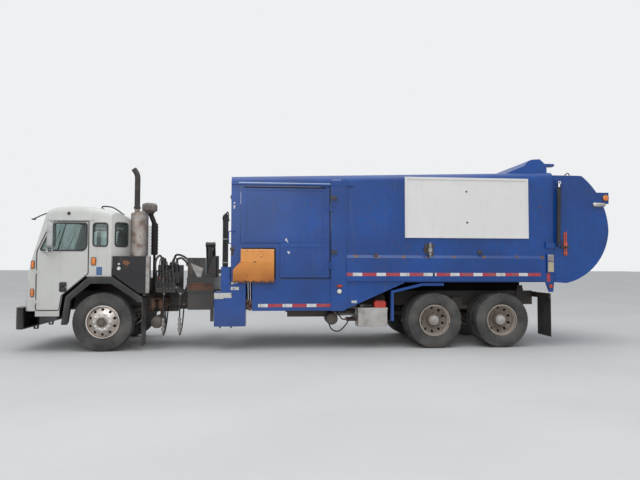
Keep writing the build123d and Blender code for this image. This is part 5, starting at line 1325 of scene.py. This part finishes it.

# %% Ledge of the service door, painted shade in its gaps, and the cover's painted shadow
ledge = [(-1.199, 3.105), (-1.222, 3.085), (-1.222, 3.072), (-1.199, 3.068)]
piece("hatch_ledge", [prism(ledge, "x", at(2.42), at(4.13))], "hatch_white", BODY, corner=30)
# Black strips 1.2 mm thick paint the shade in the gaps round the service door.
gap_shade_strips = [sticker(2.52, 4.05, 3.0, 3.024), sticker(4.112, 4.13, 1.32, 3.02), sticker(3.2, 4.12, 1.315, 1.335)]
piece("hatch_gap_shade", gap_shade_strips, "hole_black", "service_door")
# A black plate behind the orange cover, a little larger than it, paints the cover's shadow on the wall at its
# right and top.
low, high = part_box("orange_cover")
back = high.x - AXLE
cover_shadow_sheet = plate(back - 0.6, back + 0.03, low.z + 0.05, high.z + 0.025, -SIDE, 0.003, 0.03)
piece("cover_shadow", [cover_shadow_sheet], "hole_black", BODY)
tell("ledge and gaps of the service door and the cover")

# %% Sign rivets
rivet = [(0, 0.003), (0.004, 0.0026), (0.007, 0), (0.007, -0.001)]
rows = [(s, -1.238, z) for s in np.arange(5.6, 7.95, 0.155) for z in (2.11, 3.23)]
rows += [(s, -1.238, z) for z in np.arange(2.25, 3.15, 0.16) for s in (5.57, 7.96)]
piece("sign_rivets", each(lathe, rows, rivet, 8), "panel_white", BODY)
button = [(0, 0.006), (0.014, 0.005), (0.02, 0), (0.02, -0.002)]
heads = each(lathe, ((6.753, -1.222, 2.985), (6.764, -1.222, 2.39)), button, 12)
piece("sign_bolts", heads, "dark_plastic", BODY)
tell("sign rivets")

# %% Drain valve
stack = [(0, 0.29), (0.018, 0.288), (0.026, 0.27), (0.014, 0.262), (0.03, 0.245), (0.03, 0.215),
         (0.016, 0.21), (0.038, 0.19), (0.042, 0.12), (0.03, 0.1), (0.018, 0.098), (0.026, 0.08),
         (0.026, 0.05), (0.012, 0.045), (0.016, 0), (0, 0)]
valve = [lathe((at(6.03), -1.246, 1.71), stack, 10, "z", 1), box(at(6.01), at(6.05), -1.25, -1.2, 1.88, 1.92)]
piece("drain_valve", valve, "galvanised", BODY, corner=30)
mount = [plate(5.93, 6.12, 1.93, 1.975, -SIDE, 0.012), plate(5.95, 6.0, 1.77, 1.94, -SIDE, 0.02, 0.02),
         plate(6.07, 6.1, 1.73, 1.94, -SIDE, 0.016, 0.012),
         lathe((at(5.955), -1.21, 1.87), pot[:3] + [(0.045, 0.03), (0.045, 0)], 16),
         tube(path((6.03, -1.246, 1.91), (5.95, -1.262, 1.92), (5.915, -1.262, 1.86)), 0.008, 8)]
piece("drain_valve_mount", mount, "axle_iron", BODY, corner=30)
tell("drain valve")

# %% Labels, switches and rear corners
# A dark plate paints the shade in the gap where the belt's two lengths meet.
piece("belt_gap", [plate(6.09, 6.116, 1.36, 1.43, -1.2465, 0.003, 0.003)], "dark_plastic", BODY)
piece("skirt_label", [sticker(4.53, 4.63, 0.86, 0.905)], "label", BODY)
face = -1.234
piece("switch_label", [sticker(8.362, 8.478, 1.45, 1.64, face)], "label_beige", BODY)
switches = [plate(8.362, 8.478, 1.655, 1.785, face, 0.003, 0.006)]
switches += each(lathe, ((8.39, face, 1.745), (8.42, face, 1.695), (8.45, face, 1.745)),
                 [(0, 0.02), (0.011, 0.019), (0.015, 0.012), (0.015, 0.004), (0.02, 0.003)], 14)
piece("switch_plate", switches, "galvanised", BODY, corner=35)
for name, side in sides:
    y = side * SIDE
    piece(f"rear_corner_tape_{name}", [sticker(8.352, 8.42, 1.262, 1.44, y, side)], "tape_red", BODY)
    red = ("red_lens", BODY)
    lamp(f"rear_corner_reflector_{name}", (8.43, y, 1.17), "y", side, 0.075, 0.075, 0.037, *red, 0.01)
    lamp(f"rear_bar_marker_{name}", (8.6, side * 0.98, 3.5625), "x", 1, 0.12, 0.03, 0.012, *red)
tell("labels, switches and rear corners")

# %% [markdown]
# ## Gate, tail lamps and what hangs under the body
# The curved gate carries its signals, stop lamps and work lamps, and the orange prop that holds it open
# in the workshop. The tail lamps stay on the chassis when the body tilts, and under the body hang an
# aluminium box and a red can.
# %% Gate and tail lamps
TORCH = [(0, 0), (0.028, 0.004), (0.045, 0.03), (0.045, 0.16), (0.036, 0.25), (0, 0.252)]
for name, side in sides:
    spot = (9.583, side * 1.19, 2.905)
    lamp(f"gate_signal_{name}", spot, "y", side, 0.115, 0.115, 0.057, "amber_lens", GATE, 0.02)
    for part, grow, back, finish in (("base", 0.02, 9.6504, "black_rubber"), ("lens", 0, 9.6509, "red_lens")):
        flat = rounded(0.11 + grow, 0.14 + grow, 0.03, (side * 1.115, 2.9))
        piece(f"gate_stop_{name}_{part}", [prism(flat, "x", at(9.64), at(back))], finish, GATE)
    torch = lathe((at(9.3), side * 1.215, 2.765), TORCH, 20, "x", 1)
    strut = box(at(9.4), at(9.5), *sorted((side * 1.185, side * 1.215)), 2.73, 2.8)
    piece(f"gate_work_lamp_{name}", [torch, strut], "plain_aluminium", GATE, corner=40)
    for k, (inner, lens) in enumerate(((0.52, "red_lens"), (0.4, "amber_lens"), (0.28, "clear_lens"))):
        lamp(f"tail_lamp_{name}_{k}", (8.442, side * inner, 0.98), "x", 1, 0.095, 0.095, 0.047, lens, TRUCK)
tell("gate and tail lamps")

# %% Gate prop, pipes and handles
prop = [plate(*ends, -SIDE, thick, round_by) for *ends, thick, round_by in (
    (8.7, 8.722, 1.77, 2.21, 0.02, 0.008), (8.738, 8.76, 1.76, 2.23, 0.02, 0.008),
    (8.695, 8.765, 1.95, 2.02, 0.028, 0.008), (8.695, 8.765, 1.8, 1.83, 0.026, 0.006))]
piece("gate_prop", prop, "prop_orange", GATE, corner=30, bevel=0.003)
hook = [(8.66, -1.225, 1.93), (8.63, -1.225, 1.98), (8.64, -1.225, 2.03), (8.69, -1.222, 2.04)]
keeper = [plate(8.64, 8.8, 1.915, 1.945, -SIDE, 0.034, 0.006), bolt((at(8.73), -1.232, 1.93), 0.016, 0.014),
          bent(hook, 0.008, 4, 8)]
piece("gate_prop_keeper", keeper, "axle_iron", GATE, corner=35)
hoop = [(8.82, -1.05, 3.32), (8.83, -1.07, 3.37), (8.87, -1.08, 3.4), (8.91, -1.07, 3.37),
        (8.92, -1.05, 3.32)]
plumbing("gate", [hoop], GATE, 0.01)
loop = ((9.42, 1.66), (9.47, 1.62), (9.53, 1.7), (9.555, 1.83), (9.5, 1.84))
handles = [bent([(s, y, z) for s, z in loop], 0.01, 4, 8) for y in (-0.9, 0.9)]
piece("gate_handles", handles, "body_blue", GATE, corner=60)
tell("gate prop, pipes and handles")

# %% Aluminium box and red can
y = -1.19
lid = [plate(4.655, 5.215, 0.745, 0.763, -1.198, 0.003, 0.004)]
lid += [plate(s - 0.03, s + 0.03, 0.69, 0.75, y, 0.012, 0.006) for s in (4.8, 5.08)]
lid += each(lathe, [(s, y, z) for s in np.arange(4.68, 5.2, 0.0515) for z in (0.43, 0.72)], rivet, 8)
piece("side_box_latches", lid, "plain_aluminium", TRUCK, corner=30)
can = [prism(rounded(wide, deep, 0.03, (at(5.085), -1.09)), "z", z0, z1)
       for wide, deep, z0, z1 in ((0.23, 0.16, 0.768, 0.88), (0.19, 0.12, 0.878, 0.898))]
cork = [(0, 0.014), (0.02, 0.013), (0.024, 0.008), (0.024, -0.002)]
can.append(lathe((at(5.02), -1.09, 0.897), cork, 14, "z", 1))
piece("red_can", can, "red_paint", TRUCK, corner=30, bevel=0.006)
tell("aluminium box and red can")
